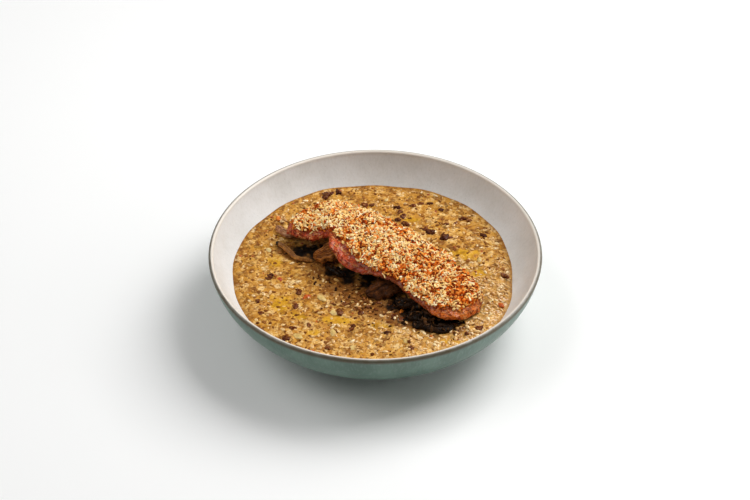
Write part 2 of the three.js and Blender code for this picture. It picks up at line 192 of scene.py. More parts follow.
@dataclass
class Shape:
    """A mesh in millimetres: its points, faces, and named values of its points."""

    points: Array
    faces: list[tuple[int, ...]]
    marks: dict[str, Array] = field(default_factory=dict)

    def outward(self) -> "Shape":
        """Turns a closed shape's faces outwards, by the sign of its volume."""
        volume = 0.0
        for count in {len(f) for f in self.faces}:
            corners = self.points[np.array([f for f in self.faces if len(f) == count])]
            for k in range(1, count - 1):
                volume += np.einsum("ij,ij->", corners[:, 0], np.cross(corners[:, k], corners[:, k + 1]))
        if volume < 0:
            self.faces = [face[::-1] for face in self.faces]
        return self

    def piece(self, name: str, material: bpy.types.Material | None = None) -> bpy.types.Object:
        """Makes the shape an object at the origin.

        Args:
            name: the piece's name.
            material: its finish, if it has one yet.

        Returns:
            The new object, smoothly shaded.
        """
        mesh = bpy.data.meshes.new(name)
        mesh.from_pydata((self.points * MM).tolist(), [], self.faces)
        for mark, values in self.marks.items():
            data = mesh.attributes.new(mark, "FLOAT", "POINT").data
            data.foreach_set("value", np.asarray(values, np.float32))
        mesh.polygons.foreach_set("use_smooth", np.ones(len(mesh.polygons), bool))
        if material is not None:
            mesh.materials.append(material)
        return placed(name, mesh)


def skin(rings: Array, start: Array, end: Array) -> Shape:
    """Closes rings of equal point counts into one skin, shut by a pole at each end.

    Args:
        rings: points as rows of rings, of shape (rows, count, 3).
        start: the pole before the first ring.
        end: the pole after the last ring.

    Returns:
        The closed shape, its points in the rings' order and then the poles.
    """
    rows, count, _ = rings.shape
    here = np.arange(count)
    after = (here + 1) % count
    faces = []
    for row in range(rows - 1):
        low, high = row * count, (row + 1) * count
        faces += np.stack([low + here, low + after, high + after, high + here], 1).tolist()
    first, last, base = rows * count, rows * count + 1, (rows - 1) * count
    faces += np.stack([np.full(count, first), after, here], 1).tolist()
    faces += np.stack([np.full(count, last), base + here, base + after], 1).tolist()
    points = np.vstack([rings.reshape(-1, 3), start, end])
    return Shape(points, [tuple(face) for face in faces]).outward()


def with_poles(values: dict[str, Array]) -> dict[str, Array]:
    """Turns values of a skin's rings into marks, in which each pole has what its ring starts with."""
    return {name: np.append(v.ravel(), (v[0, 0], v[-1, 0])) for name, v in values.items()}


def ball(level: int) -> Shape:
    """Makes a ball of radius 1 with 20 faces, or four times as many for each level above 1."""
    bpy.ops.mesh.primitive_ico_sphere_add(subdivisions=level, radius=1.0)
    made = bpy.context.object
    points = np.array([v.co for v in made.data.vertices])
    faces = [tuple(p.vertices) for p in made.data.polygons]
    bpy.data.objects.remove(made)
    return Shape(points, faces)


def lump(rng: np.random.Generator, level: int, size: Sequence[float], rough: float) -> Shape:
    """Makes an uneven lump round the origin.

    Args:
        rng: the draws that it uses.
        level: fineness of its ball.
        size: its length, width and height.
        rough: how far its points stray, as a share of its size.

    Returns:
        The lump.
    """
    waves, steepness, grit = 3, 2.2, 0.35
    shape = ball(level)
    swells = [np.sin(shape.points @ rng.normal(0, steepness, 3) + rng.uniform(0, 6.3)) for _ in range(waves)]
    stray = 1 + rough * (sum(swells) / waves + rng.uniform(-grit, grit, len(shape.points)))
    shape.points = shape.points * stray[:, None] * np.array(size) / 2
    return shape


def pebble(rng: np.random.Generator, size: Sequence[float], rough: float) -> Shape:
    """Makes an uneven pebble of 35 faces round the origin, for what is repeated hundreds of times.

    Args:
        rng: the draws that it uses.
        size: its length, width and height.
        rough: how far its points stray, as a share of its size.

    Returns:
        The pebble.
    """
    sides = 7
    share = np.array([-0.8, -0.28, 0.28, 0.8])
    angle = np.linspace(0, math.tau, sides, endpoint=False)
    reach = np.sqrt(1 - share**2)[:, None] * (1 + rough * rng.uniform(-1, 1, (len(share), sides)))
    rings = np.stack([share[:, None] + 0 * reach, reach * np.cos(angle), reach * np.sin(angle)], 2)
    shape = skin(rings, np.array([-1.0, 0, 0]), np.array([1.0, 0, 0]))
    shape.points = shape.points * np.array(size) / 2
    return shape


def joined(shapes: Sequence[Shape]) -> Shape:
    """Joins shapes that have the same marks into one."""
    starts = np.cumsum([0] + [len(s.points) for s in shapes])
    faces = [tuple(int(k + start) for k in face) for s, start in zip(shapes, starts) for face in s.faces]
    marks = {name: np.concatenate([s.marks[name] for s in shapes]) for name in shapes[0].marks}
    return Shape(np.vstack([s.points for s in shapes]), faces, marks)


# ---- node trees ----


class Sock:
    """A node's output, which Python arithmetic turns into Math nodes."""

    def __init__(self, nodes: "Nodes", output: bpy.types.NodeSocket) -> None:
        """Keeps the output and the tree that it is in."""
        self.nodes, self.output = nodes, output

    def _math(self, operation: str, first: "Sock | float", second: "Sock | float") -> "Sock":
        """Adds one Math node."""
        return self.nodes.node("ShaderNodeMath", {"operation": operation}, {0: first, 1: second})

    def __add__(self, other: "Sock | float") -> "Sock":
        """Adds."""
        return self._math("ADD", self, other)

    def __radd__(self, other: float) -> "Sock":
        """Adds to a number."""
        return self._math("ADD", other, self)

    def __sub__(self, other: "Sock | float") -> "Sock":
        """Subtracts."""
        return self._math("SUBTRACT", self, other)

    def __rsub__(self, other: float) -> "Sock":
        """Subtracts from a number."""
        return self._math("SUBTRACT", other, self)

    def __mul__(self, other: "Sock | float") -> "Sock":
        """Multiplies."""
        return self._math("MULTIPLY", self, other)

    def __rmul__(self, other: float) -> "Sock":
        """Multiplies a number."""
        return self._math("MULTIPLY", other, self)

    def step(self, low: float, high: float) -> "Sock":
        """Rises smoothly from 0 at low to 1 at high, or falls if low is the higher."""
        sockets = {"Value": self, "From Min": low, "From Max": high}
        return self.nodes.node("ShaderNodeMapRange", {"interpolation_type": "SMOOTHSTEP"}, sockets)


class Nodes:
    """Builds one node tree."""

    def __init__(self, tree: bpy.types.NodeTree) -> None:
        """Keeps the tree and empties it."""
        self.tree = tree
        tree.nodes.clear()

    def node(
        self, kind: str, settings: dict | None = None, sockets: dict | None = None, out: int | str = 0
    ) -> Sock:
        """Adds one node.

        Args:
            kind: the node's type.
            settings: its properties, set first; "stops" gives a ramp's places and colours.
            sockets: values or links for its inputs, by name or number.
            out: the output that the result stands for.

        Returns:
            That output.
        """
        made = self.tree.nodes.new(kind)
        for name, value in (settings or {}).items():
            if name == "stops":
                self._set_stops(made.color_ramp, value)
            else:
                setattr(made, name, value)
        for key, value in (sockets or {}).items():
            if isinstance(value, Sock):
                self.tree.links.new(value.output, made.inputs[key])
            else:
                made.inputs[key].default_value = value
        return Sock(self, made.outputs[out])

    @staticmethod
    def _set_stops(ramp: bpy.types.ColorRamp, stops: Sequence[tuple[float, Colour]]) -> None:
        """Gives a ramp its places and colours."""
        while len(ramp.elements) < len(stops):
            ramp.elements.new(1.0)
        for element, (place, colour) in zip(ramp.elements, stops):
            element.position, element.color = place, colour


class Paint(Nodes):
    """The node tree of one finish, with sizes of its patterns in millimetres."""

    def __init__(self, name: str) -> None:
        """Starts a material."""
        self.material = bpy.data.materials.new(name)
        self.material.use_nodes = True
        super().__init__(self.material.node_tree)
        place = self.node("ShaderNodeTexCoord", out="Object")
        self.place = self.node("ShaderNodeVectorMath", {"operation": "SCALE"}, {0: place, "Scale": 1 / MM})

    def mark(self, name: str) -> Sock:
        """Reads a named value of the mesh's points."""
        return self.node("ShaderNodeAttribute", {"attribute_name": name}, out="Fac")

    def noise(self, size: float, detail: float = 3.0, where: Sock | None = None, warp: float = 0.0) -> Sock:
        """Adds cloudy noise.

        Args:
            size: width of its patches.
            detail: how many finer layers it has.
            where: the place that it reads, if not the object's own.
            warp: how far it is bent by itself.

        Returns:
            Its value, about 0.25 to 0.75.
        """
        sockets = {"Vector": where or self.place, "Scale": 1 / size, "Detail": detail, "Distortion": warp}
        return self.node("ShaderNodeTexNoise", None, sockets, "Fac")

    def cells(self, size: float) -> Sock:
        """Adds a cell pattern: the distance to the nearest cell's middle."""
        return self.node("ShaderNodeTexVoronoi", None, {"Vector": self.place, "Scale": 1 / size}, "Distance")

    def patches(self, size: float) -> Sock:
        """Gives each cell of a pattern with bent borders its own value, 0 to 1."""
        sockets = {"Vector": self.place, "Scale": 1.1 / size, "Detail": 2.0}
        cloud = self.node("ShaderNodeTexNoise", None, sockets, "Color")
        sockets = {0: cloud, 1: (1.6 * size,) * 3, 2: self.place}
        bent = self.node("ShaderNodeVectorMath", {"operation": "MULTIPLY_ADD"}, sockets)
        tone = self.node("ShaderNodeTexVoronoi", None, {"Vector": bent, "Scale": 1 / size}, "Color")
        return self.node("ShaderNodeSeparateColor", None, {0: tone}, 0)

    def mix(
        self, share: Sock | float, first: Sock | Colour, second: Sock | Colour, blend: str = "MIX"
    ) -> Sock:
        """Mixes two colours by a share of the second."""
        settings = {"data_type": "RGBA", "blend_type": blend, "clamp_factor": True}
        return self.node("ShaderNodeMix", settings, {0: share, 6: first, 7: second}, 2)

    def ramp(self, value: Sock, *stops: tuple[float, Colour]) -> Sock:
        """Turns a value into a colour between stops."""
        return self.node("ShaderNodeValToRGB", {"stops": stops}, {0: value}, "Color")

    def squeezed(self, along: Sock, across: Sock, length: float, width: float) -> Sock:
        """Gives a place that runs along and across a piece, in millimetres."""
        sockets = {0: along * length, 1: across * width, 2: self.split(2) * 0.3}
        return self.node("ShaderNodeCombineXYZ", None, sockets)

    def split(self, axis: int) -> Sock:
        """Gives one coordinate of the place."""
        return self.node("ShaderNodeSeparateXYZ", None, {0: self.place}, axis)

    def bump(self, height: Sock, depth: float) -> Sock:
        """Turns a height of 0 to 1 into normals, as relief of that depth."""
        return self.node("ShaderNodeBump", None, {"Strength": 1.0, "Distance": depth * MM, "Height": height})

    def finish(
        self, colour: Sock, rough: Sock | float, normal: Sock | None = None, **rest: Sock | float
    ) -> bpy.types.Material:
        """Ends the tree in its shader.

        Args:
            colour: base colour.
            rough: roughness.
            normal: normals from a bump.
            rest: other sockets by name, with _ for a space.

        Returns:
            The finished material.
        """
        sockets = {"Base Color": colour, "Roughness": rough}
        sockets.update({name.replace("_", " "): value for name, value in rest.items()})
        if normal is not None:
            sockets["Normal"] = normal
        shader = self.node("ShaderNodeBsdfPrincipled", None, sockets)
        end = self.tree.nodes.new("ShaderNodeOutputMaterial")
        self.tree.links.new(shader.output, end.inputs["Surface"])
        return self.material


# ---- scattering ----


class ScatterTree(Nodes):
    """The Geometry Nodes tree that spreads small pieces over a surface, by inputs that each kind sets."""

    INPUTS = {
        "Surface": "NodeSocketGeometry",
        "Pieces": "NodeSocketCollection",
        "Spacing": "NodeSocketFloat",
        "Density": "NodeSocketFloat",
        "Mark": "NodeSocketString",
        "Seed": "NodeSocketInt",
        "Smallest": "NodeSocketFloat",
        "Largest": "NodeSocketFloat",
        "Lowest": "NodeSocketFloat",
        "Highest": "NodeSocketFloat",
        "Tilt": "NodeSocketFloat",
        "Finish": "NodeSocketMaterial",
    }

    def __init__(self) -> None:
        """Builds the tree."""
        tree = bpy.data.node_groups.new("scatter", "GeometryNodeTree")
        super().__init__(tree)
        for name, kind in self.INPUTS.items():
            tree.interface.new_socket(name, in_out="INPUT", socket_type=kind)
        tree.interface.new_socket("Spread", in_out="OUTPUT", socket_type="NodeSocketGeometry")
        group = tree.nodes.new("NodeGroupInput")
        given = {name: Sock(self, group.outputs[name]) for name in self.INPUTS}
        points, normal, upright = self._points(given)
        lift = self._draw("FLOAT", given["Lowest"], given["Highest"], given["Seed"] + 1)
        shift = self.node("ShaderNodeVectorMath", {"operation": "SCALE"}, {0: normal, "Scale": lift})
        placed = self.node("GeometryNodeSetPosition", None, {"Geometry": points, "Offset": shift})
        spread = self._instances(given, placed, upright)
        tint = self._draw("FLOAT", 0.0, 1.0, given["Seed"] + 5)
        stored = {"data_type": "FLOAT", "domain": "INSTANCE"}
        sockets = {"Geometry": spread, "Name": "tint", "Value": tint}
        spread = self.node("GeometryNodeStoreNamedAttribute", stored, sockets)
        real = self.node("GeometryNodeRealizeInstances", None, {"Geometry": spread})
        dressed = self.node("GeometryNodeSetMaterial", None, {"Geometry": real, "Material": given["Finish"]})
        end = tree.nodes.new("NodeGroupOutput")
        tree.links.new(dressed.output, end.inputs[0])

    def _points(self, given: dict[str, Sock]) -> tuple[Sock, Sock, Sock]:
        """Draws the points, and gives them with their normals and upright turns."""
        share = self.node("GeometryNodeInputNamedAttribute", {"data_type": "FLOAT"}, {"Name": given["Mark"]})
        sockets = {
            "Mesh": given["Surface"], "Distance Min": given["Spacing"], "Density Max": given["Density"],
            "Density Factor": share, "Seed": given["Seed"],
        }
        points = self.node("GeometryNodeDistributePointsOnFaces", {"distribute_method": "POISSON"}, sockets)
        outputs = points.output.node.outputs
        return points, Sock(self, outputs["Normal"]), Sock(self, outputs["Rotation"])

    def _instances(self, given: dict[str, Sock], points: Sock, upright: Sock) -> Sock:
        """Puts a turned and scaled piece on each point."""
        low = self.node("ShaderNodeCombineXYZ", None, {0: 0 - given["Tilt"], 1: 0 - given["Tilt"], 2: 0.0})
        high = self.node("ShaderNodeCombineXYZ", None, {0: given["Tilt"], 1: given["Tilt"], 2: math.tau})
        euler = self._draw("FLOAT_VECTOR", low, high, given["Seed"] + 2)
        turn = self.node("FunctionNodeEulerToRotation", None, {0: euler})
        turned = self.node("FunctionNodeRotateRotation", {"rotation_space": "LOCAL"}, {0: upright, 1: turn})
        size = self._draw("FLOAT", given["Smallest"], given["Largest"], given["Seed"] + 3)
        kinds = {"Collection": given["Pieces"], "Separate Children": True, "Reset Children": True}
        pieces = self.node("GeometryNodeCollectionInfo", None, kinds)
        sockets = {
            "Points": points, "Instance": pieces, "Pick Instance": True, "Rotation": turned,
            "Scale": size, "Instance Index": self._draw("INT", 0, 1000, given["Seed"] + 4),
        }
        return self.node("GeometryNodeInstanceOnPoints", None, sockets)

    def _draw(self, kind: str, low: Sock | float, high: Sock | float, seed: Sock) -> Sock:
        """Adds a random draw of a kind between two bounds."""
        first = {"FLOAT_VECTOR": 0, "FLOAT": 2, "INT": 4}[kind]
        sockets = {first: low, first + 1: high, "Seed": seed}
        return self.node("FunctionNodeRandomValue", {"data_type": kind}, sockets, first // 2)


@dataclass(frozen=True)
class Scatter:
    """One kind of small piece, spread over a surface."""

    name: str
    seed: int
    spacing: float  # smallest distance between two
    density: float  # most of them on a square centimetre
    scale: tuple[float, float]
    lift: tuple[float, float]  # height of their middles over the surface
    tilt: float  # degrees
    mark: str = "field"  # the surface's value that thins them out
    smooth: bool = True

    def spread(
        self, surface: bpy.types.Object, kinds: Sequence[Shape], finish: bpy.types.Material
    ) -> bpy.types.Object:
        """Spreads pieces over a surface.

        Args:
            surface: the object whose mesh carries them.
            kinds: the shapes that are drawn from.
            finish: their material.

        Returns:
            One object with every piece in its mesh.
        """
        group = bpy.data.collections.new(self.name + "_kinds")
        bpy.context.scene.collection.children.link(group)
        for number, kind in enumerate(kinds):
            made = kind.piece(f"{self.name}_kind_{number:02d}")
            bpy.context.scene.collection.objects.unlink(made)
            group.objects.link(made)
        host = placed(self.name + "_host", surface.data)
        modifier = host.modifiers.new("scatter", "NODES")
        modifier.node_group = bpy.data.node_groups.get("scatter") or ScatterTree().tree
        values = {
            "Pieces": group, "Finish": finish, "Mark": self.mark, "Seed": self.seed,
            "Spacing": self.spacing * MM, "Density": self.density * PER_CM2,
            "Smallest": self.scale[0], "Largest": self.scale[1],
            "Lowest": self.lift[0] * MM, "Highest": self.lift[1] * MM, "Tilt": math.radians(self.tilt),
        }
        for item in modifier.node_group.interface.items_tree:
            if item.in_out == "INPUT" and item.name in values:
                modifier[item.identifier] = values[item.name]
        graph = bpy.context.evaluated_depsgraph_get()
        mesh = bpy.data.meshes.new_from_object(host.evaluated_get(graph))
        mesh.polygons.foreach_set("use_smooth", np.full(len(mesh.polygons), self.smooth))
        bpy.data.objects.remove(host)
        for made in list(group.objects):
            bpy.data.objects.remove(made)
        bpy.data.collections.remove(group)
        return placed(self.name, mesh)


def settle(piece: bpy.types.Object, slot: Slot, *nodes: str) -> bpy.types.Object:
    """Hands a finished piece to the frame.

    Args:
        piece: the piece, at the origin.
        slot: the record's slot of its finish; it is not used.
        nodes: the solids that it stands for.

    Returns:
        The piece.
    """
    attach(piece, "root")
    if nodes:
        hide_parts(*nodes)
    log.info("%s: %d faces", piece.name, len(piece.data.polygons))
    return piece


# ---- finishes ----


@dataclass(frozen=True)
class Glaze:
    """Speckled glaze: sage outside, white inside, thin and brown where it breaks over the rim."""

    outside: Colour = rgb(102, 129, 115)
    outside_deep: Colour = rgb(82, 109, 96)
    inside: Colour = rgb(233, 233, 231)
    inside_shade: Colour = rgb(216, 215, 210)
    lip: Colour = rgb(228, 219, 207)
    breaking: Colour = rgb(84, 70, 46)
    streak: Colour = rgb(134, 152, 143)
    dot: Colour = rgb(120, 104, 82)
    clay: Colour = rgb(196, 178, 150)
    clay_shade: Colour = rgb(170, 150, 122)

    def material(self) -> bpy.types.Material:
        """Builds the material."""
        paint = Paint("glazed_stoneware")
        inner = paint.mark("inside")
        height = paint.split(2)
        streaks = paint.node("ShaderNodeMapping", {"vector_type": "POINT"}, {0: paint.place, 3: (1, 1, 0.12)})
        streak = paint.noise(1.3, 3.0, streaks)
        cloud = paint.noise(22.0, 3.0)
        outside = paint.mix(cloud.step(0.35, 0.68), self.outside_deep, self.outside)
        outside = paint.mix(streak.step(0.45, 0.75) * 0.35, outside, self.streak)
        shade = cloud.step(0.3, 0.7) * 0.6 + streak.step(0.4, 0.7) * 0.3
        inside = paint.mix(shade, self.inside, self.inside_shade)
        colour = paint.mix(inner, outside, inside)
        dots = paint.cells(1.7).step(0.17, 0.08) * paint.noise(3.1, 1.0).step(0.55, 0.62)
        colour = paint.mix(dots * 0.4, colour, self.dot)
        colour = paint.mix(paint.mark("lip"), colour, self.lip)
        uneven = paint.noise(6.0, 2.0) * 0.5 + 0.62
        colour = paint.mix(paint.mark("breaking") * uneven, colour, self.breaking)
        grain = paint.noise(0.7, 2.0)
        clay = paint.mix(grain, self.clay, self.clay_shade)
        bare = height.step(0.9, 0.5) * paint.mark("foot")
        colour = paint.mix(bare, colour, clay)
        rough = 0.3 + cloud * 0.12 + bare * 0.4
        normal = paint.bump(streak * 0.5 + paint.noise(4.0, 2.0), 0.12)
        return paint.finish(colour, rough, normal, Specular_IOR_Level=0.5)


@dataclass(frozen=True)
class CreamyRice:
    """The risotto's own surface: tan cream with pale grains, brown specks and juices, and yellow oil, with
    painted shade and near-black painted shadow under the rasher, and painted shade at its rim.
    """

    deep: Colour = rgb(154, 96, 32)
    tan: Colour = rgb(201, 142, 57)
    cream: Colour = rgb(235, 188, 108)
    palest: Colour = rgb(250, 222, 166)
    ochre: Colour = rgb(202, 146, 36)
    speck: Colour = rgb(84, 46, 20)
    stain: Colour = rgb(116, 66, 24)
    oil: Colour = rgb(220, 164, 28)
    # brown juices, and painted shade under the rasher's near side
    juice: Colour = rgb(118, 68, 22)
    # near black: painted shadow close under the rasher
    shadow_black: Colour = rgb(16, 8, 4)
    # brownish creamy edge where the risotto meets the bowl, darkened as painted contact shade
    rim_sauce_and_shade: Colour = rgb(132, 82, 32)

    def material(self) -> bpy.types.Material:
        """Builds the material."""
        paint = Paint("risotto_cream")
        grain, oil, wet = paint.mark("grain"), paint.mark("oil"), paint.mark("wet")
        broad = paint.noise(8.0, 3.0, warp=0.5)
        lumps = paint.noise(3.4, 3.0, warp=0.7)
        fine = paint.noise(2.3, 2.0, warp=0.5)
        colour = paint.mix(broad.step(0.36, 0.62), self.deep, self.tan)
        colour = paint.mix(paint.noise(5.5, 3.0, warp=0.8).step(0.5, 0.64) * 0.6, colour, self.ochre)
        colour = paint.mix(lumps.step(0.5, 0.66) * 0.8, colour, self.cream)
        colour = paint.mix(lumps.step(0.45, 0.34) * 0.55, colour, self.deep)
        stops = (
            (0.0, self.speck), (0.14, self.speck), (0.24, self.deep), (0.4, self.tan), (0.64, self.tan),
            (0.8, self.cream), (1.0, self.palest),
        )
        bits = paint.ramp(paint.patches(3.4), *stops)
        colour = paint.mix(0.25 + fine.step(0.4, 0.6) * 0.4, colour, bits)
        colour = paint.mix(fine.step(0.46, 0.32) * 0.45, colour, self.deep)
        colour = paint.mix(grain.step(0.2, 0.9) * (0.1 + paint.mark("tint") * 0.5), colour, self.cream)
        colour = paint.mix(paint.noise(2.6, 2.0, warp=0.4).step(0.56, 0.66) * 0.7, colour, self.stain)
        specks = paint.cells(2.4).step(0.4, 0.12) * paint.noise(3.0, 1.0).step(0.5, 0.6)
        colour = paint.mix(specks * 0.6, colour, self.speck)
        # Paler cream in the wet zone: partly paler grains there, partly painted sheen.
        colour = paint.mix(wet * (lumps * 0.7 - 0.1), colour, self.cream)
        colour = paint.mix(oil * (lumps * 1.3 - 0.1), colour, self.oil)
        # Brown juices and painted shade under the rasher's near side.
        colour = paint.mix(paint.mark("juice") * (0.45 + fine * 0.8), colour, self.juice)
        # Painted shadow: the cream turns near black close under the rasher.
        colour = paint.mix(paint.mark("scorch") * (0.7 + lumps * 0.6), colour, self.shadow_black)
        # A brownish band where the risotto meets the bowl: its creamy edge, and painted contact shade.
        colour = paint.mix(paint.mark("rim") * 0.5, colour, self.rim_sauce_and_shade)
        rough = 0.5 - oil * 0.26 - wet * 0.24 + fine * 0.1
        normal = paint.bump(lumps + fine * 0.7, 0.4)
        sheen = {"Coat_Roughness": 0.08, "Specular_IOR_Level": 0.1}
        return paint.finish(colour, rough, normal, Coat_Weight=0.03 + wet * 0.6 + oil * 0.35, **sheen)


@dataclass(frozen=True)
class Bits:
    """The finish of small scattered pieces, whose colour is drawn for each one."""

    name: str
    colours: tuple[Colour, ...]
    rough: float = 0.35
    coat: float = 0.2
    mottle: float = 0.3
    patch: float = 0.9  # width of its mottles
    specular: float = 0.2
    shade: Colour = rgb(172, 124, 76)  # multiplies the colour in the mottles

    def material(self) -> bpy.types.Material:
        """Builds the material."""
        paint = Paint(self.name)
        last = len(self.colours) - 1
        stops = [(k / max(last, 1), colour) for k, colour in enumerate(self.colours)]
        colour = paint.ramp(paint.mark("tint"), *stops)
        cloud = paint.noise(self.patch, 3.0)
        dark = paint.mix(1.0, colour, self.shade, "MULTIPLY")
        colour = paint.mix(cloud.step(0.62, 0.36) * self.mottle * 1.6, colour, dark)
        normal = paint.bump(cloud, 0.12)
        sheen = {"Coat_Roughness": 0.12, "Specular_IOR_Level": self.specular}
        return paint.finish(colour, self.rough, normal, Coat_Weight=self.coat, **sheen)


@dataclass(frozen=True)
class FriedBacon:
    """Fried bacon: red lean, pale streaks of fat, a seared bare band, and a bed for its crumbs, with
    near-black patches that are partly painted shade between them.
    """

    lean: Colour = rgb(212, 84, 46)
    lean_deep: Colour = rgb(130, 36, 10)
    highlight: Colour = rgb(250, 152, 64)
    tip: Colour = rgb(238, 122, 36)
    fat: Colour = rgb(252, 180, 104)
    seared: Colour = rgb(106, 34, 12)
    under: Colour = rgb(120, 74, 34)
    bed: Colour = rgb(204, 98, 26)
    # near black in patches: toasted crumbs, and partly painted shade in the gaps between them
    bed_deep_and_gap_shade: Colour = rgb(70, 22, 4)

    def material(self) -> bpy.types.Material:
        """Builds the material."""
        paint = Paint("fried_bacon")
        along, across, under = paint.mark("along"), paint.mark("across"), paint.mark("under")
        place = paint.squeezed(along, across, 90.0, 40.0)
        marble = paint.noise(3.0, 3.0, place, 0.9)
        blotch = paint.noise(4.0, 3.0, warp=1.0)
        fine = paint.noise(1.3, 3.0, warp=0.4)
        colour = paint.mix(along.step(0.62, 0.84), self.lean, self.tip)
        colour = paint.mix(blotch.step(0.54, 0.4) * 0.85, colour, self.lean_deep)
        colour = paint.mix(marble.step(0.52, 0.62) * 0.65, colour, self.fat)
        colour = paint.mix(fine.step(0.48, 0.34) * 0.75, colour, self.seared)
        colour = paint.mix(fine.step(0.56, 0.68) * 0.5, colour, self.highlight)
        seared = paint.mark("sear") * (0.45 + marble * 0.7)
        colour = paint.mix(seared, colour, self.seared)
        colour = paint.mix(under * 0.8, colour, self.under)
        # The crumbs' bed: toasted orange, with near-black patches that are partly painted shade in the gaps.
        bed = paint.mix(paint.noise(1.3, 3.0).step(0.35, 0.65), self.bed_deep_and_gap_shade, self.bed)
        covered = (paint.mark("cover") + (fine - 0.5) * 0.7).step(0.3, 0.55)
        colour = paint.mix(covered, colour, bed)
        rough = 0.3 + covered * 0.35 + fine * 0.12
        normal = paint.bump(marble * 0.8 + fine + blotch, 0.9)
        sheen = {"Coat_Roughness": 0.1, "Specular_IOR_Level": 0.08}
        return paint.finish(colour, rough, normal, Coat_Weight=0.3 - covered * 0.3, **sheen)


@dataclass(frozen=True)
class FriedMushroom:
    """Fried mushroom: streaked along its gills, darker in the grooves and sometimes at one end."""

    name: str
    pale: Colour
    brown: Colour
    groove: Colour
    dark_start: float = 0.0  # share of the length, from its start, that is near black
    rough: float = 0.36
    coat: float = 0.25
    charred: Colour = rgb(16, 9, 4)

    def material(self) -> bpy.types.Material:
        """Builds the material."""
        paint = Paint(self.name)
        along, across = paint.mark("along"), paint.mark("across")
        place = paint.squeezed(along, across, 5.0, 16.0)
        streak = paint.noise(0.9, 4.0, place, 0.5)
        cloud = paint.noise(2.6, 3.0, warp=0.4)
        colour = paint.mix(cloud.step(0.35, 0.65), self.brown, self.pale)
        colour = paint.mix(streak.step(0.52, 0.36) * 0.7, colour, self.groove)
        colour = paint.mix(paint.mark("groove") * (0.2 + cloud * 0.7), colour, self.groove)
        if self.dark_start:
            end = along.step(self.dark_start, self.dark_start / 2)
            colour = paint.mix(end, colour, self.charred)
        rough = self.rough + (cloud - 0.5) * 0.2
        normal = paint.bump(streak + cloud * 0.5, 0.35)
        sheen = {"Coat_Roughness": 0.15, "Specular_IOR_Level": 0.06}
        return paint.finish(colour, rough, normal, Coat_Weight=self.coat, **sheen)


# ---- bowl ----


@dataclass
class Bowl:
    """A wide coupe bowl of glazed stoneware on a foot ring."""

    rim_radius: float = 110.0
    rim_height: float = 50.0
    lip: float = 3.4
    foot_outer: float = 60.5
    foot_inner: float = 54.0
    foot_recess: float = 3.0
    foot_height: float = 4.5
    foot_edge: float = 0.8
    floor_height: float = 8.5
    floor_radius: float = 50.0
    outer_belly: tuple[float, float] = (104.0, 14.0)
    inner_belly: tuple[float, float] = (94.0, 14.0)
    tip: float = 4.0  # radius of the innermost ring of its floor and underside
    sides: int = 176
    steps: int = 44

    def inner_wall(self) -> Array:
        """Gives the inner wall, from the lip down to the floor."""
        top = (self.rim_radius - self.lip, self.rim_height - self.lip / 2)
        return bend(top, self.inner_belly, (self.floor_radius, self.floor_height), self.steps)

    def wall_radius(self, height: Array | float) -> Array | float:
        """Gives the hollow's radius at a height."""
        wall = self.inner_wall()[::-1]
        return np.interp(height, wall[:, 1], wall[:, 0])

    def _flat(self, start: float, end: float, height: float) -> Array:
        """Gives a level stretch of the profile between two radii."""
        return np.column_stack([np.linspace(start, end, 8), np.full(8, height)])

    def _foot(self) -> Array:
        """Gives the foot's underside and ring with small round corners, from the middle outwards."""
        edge, recess = self.foot_edge, self.foot_recess
        # Each corner of the ring, and how far before and after it the rounding starts and ends.
        corners = (
            ((self.foot_inner, recess), (-1, 0), (0.25, -1)),
            ((self.foot_inner + edge, 0.0), (-0.2, 0.7), (0.9, 0)),
            ((self.foot_outer - edge, 0.0), (-0.9, 0), (0.25, 0.9)),
        )
        rounded = [self._flat(self.tip, self.foot_inner - 1, recess)]
        for corner, before, after in corners:
            rounded.append(bend(np.add(corner, before), corner, np.add(corner, after), 6))
        return np.vstack(rounded)

    def build(self) -> bpy.types.Object:
        """Turns the profile into the bowl."""
        top = self.rim_height - self.lip / 2
        half = self.lip / 2
        foot_top = (self.foot_outer, self.foot_height)
        outer = bend(foot_top, self.outer_belly, (self.rim_radius, top), self.steps)
        turn = np.linspace(0.0, math.pi, 16)[1:-1]
        crest = np.column_stack([self.rim_radius - half + half * np.cos(turn), top + half * np.sin(turn)])
        floor = self._flat(self.floor_radius - 3, self.tip, self.floor_height)
        foot = self._foot()
        profile = np.vstack([foot, outer, crest, self.inner_wall(), floor])
        count = [len(foot), len(outer), len(crest), len(self.inner_wall()) + len(floor)]
        part = np.repeat(np.arange(4), count)
        over = np.concatenate([np.zeros(count[0] + count[1]), turn / math.pi, np.ones(count[3])])
        outer_rim = smooth(top - 1.6, top - 0.7, profile[:, 1]) * (1 - smooth(0.38, 0.56, over))
        values = {
            "inside": smooth(0.1, 0.5, over),
            "foot": (part == 0).astype(float),
            "lip": smooth(0.36, 0.52, over) * (1 - smooth(0.8, 0.98, over)),
            "breaking": outer_rim * (part > 0),
        }
        angle = np.linspace(0.0, math.tau, self.sides, endpoint=False)
        around = np.column_stack([np.cos(angle), np.sin(angle)])
        rings = np.empty((len(profile), self.sides, 3))
        rings[:, :, :2] = profile[:, None, :1] * around[None]
        rings[:, :, 2] = profile[:, None, 1]
        shape = skin(rings, np.array([0, 0, self.foot_recess]), np.array([0, 0, self.floor_height]))
        poles = {"inside": (0, 1), "foot": (1, 0), "lip": (0, 0), "breaking": (0, 0)}
        shape.marks = {name: np.append(np.repeat(v, self.sides), poles[name]) for name, v in values.items()}
        return settle(shape.piece("stoneware_bowl", Glaze().material()), Slot.STONEWARE, "bowl")


# ---- risotto ----


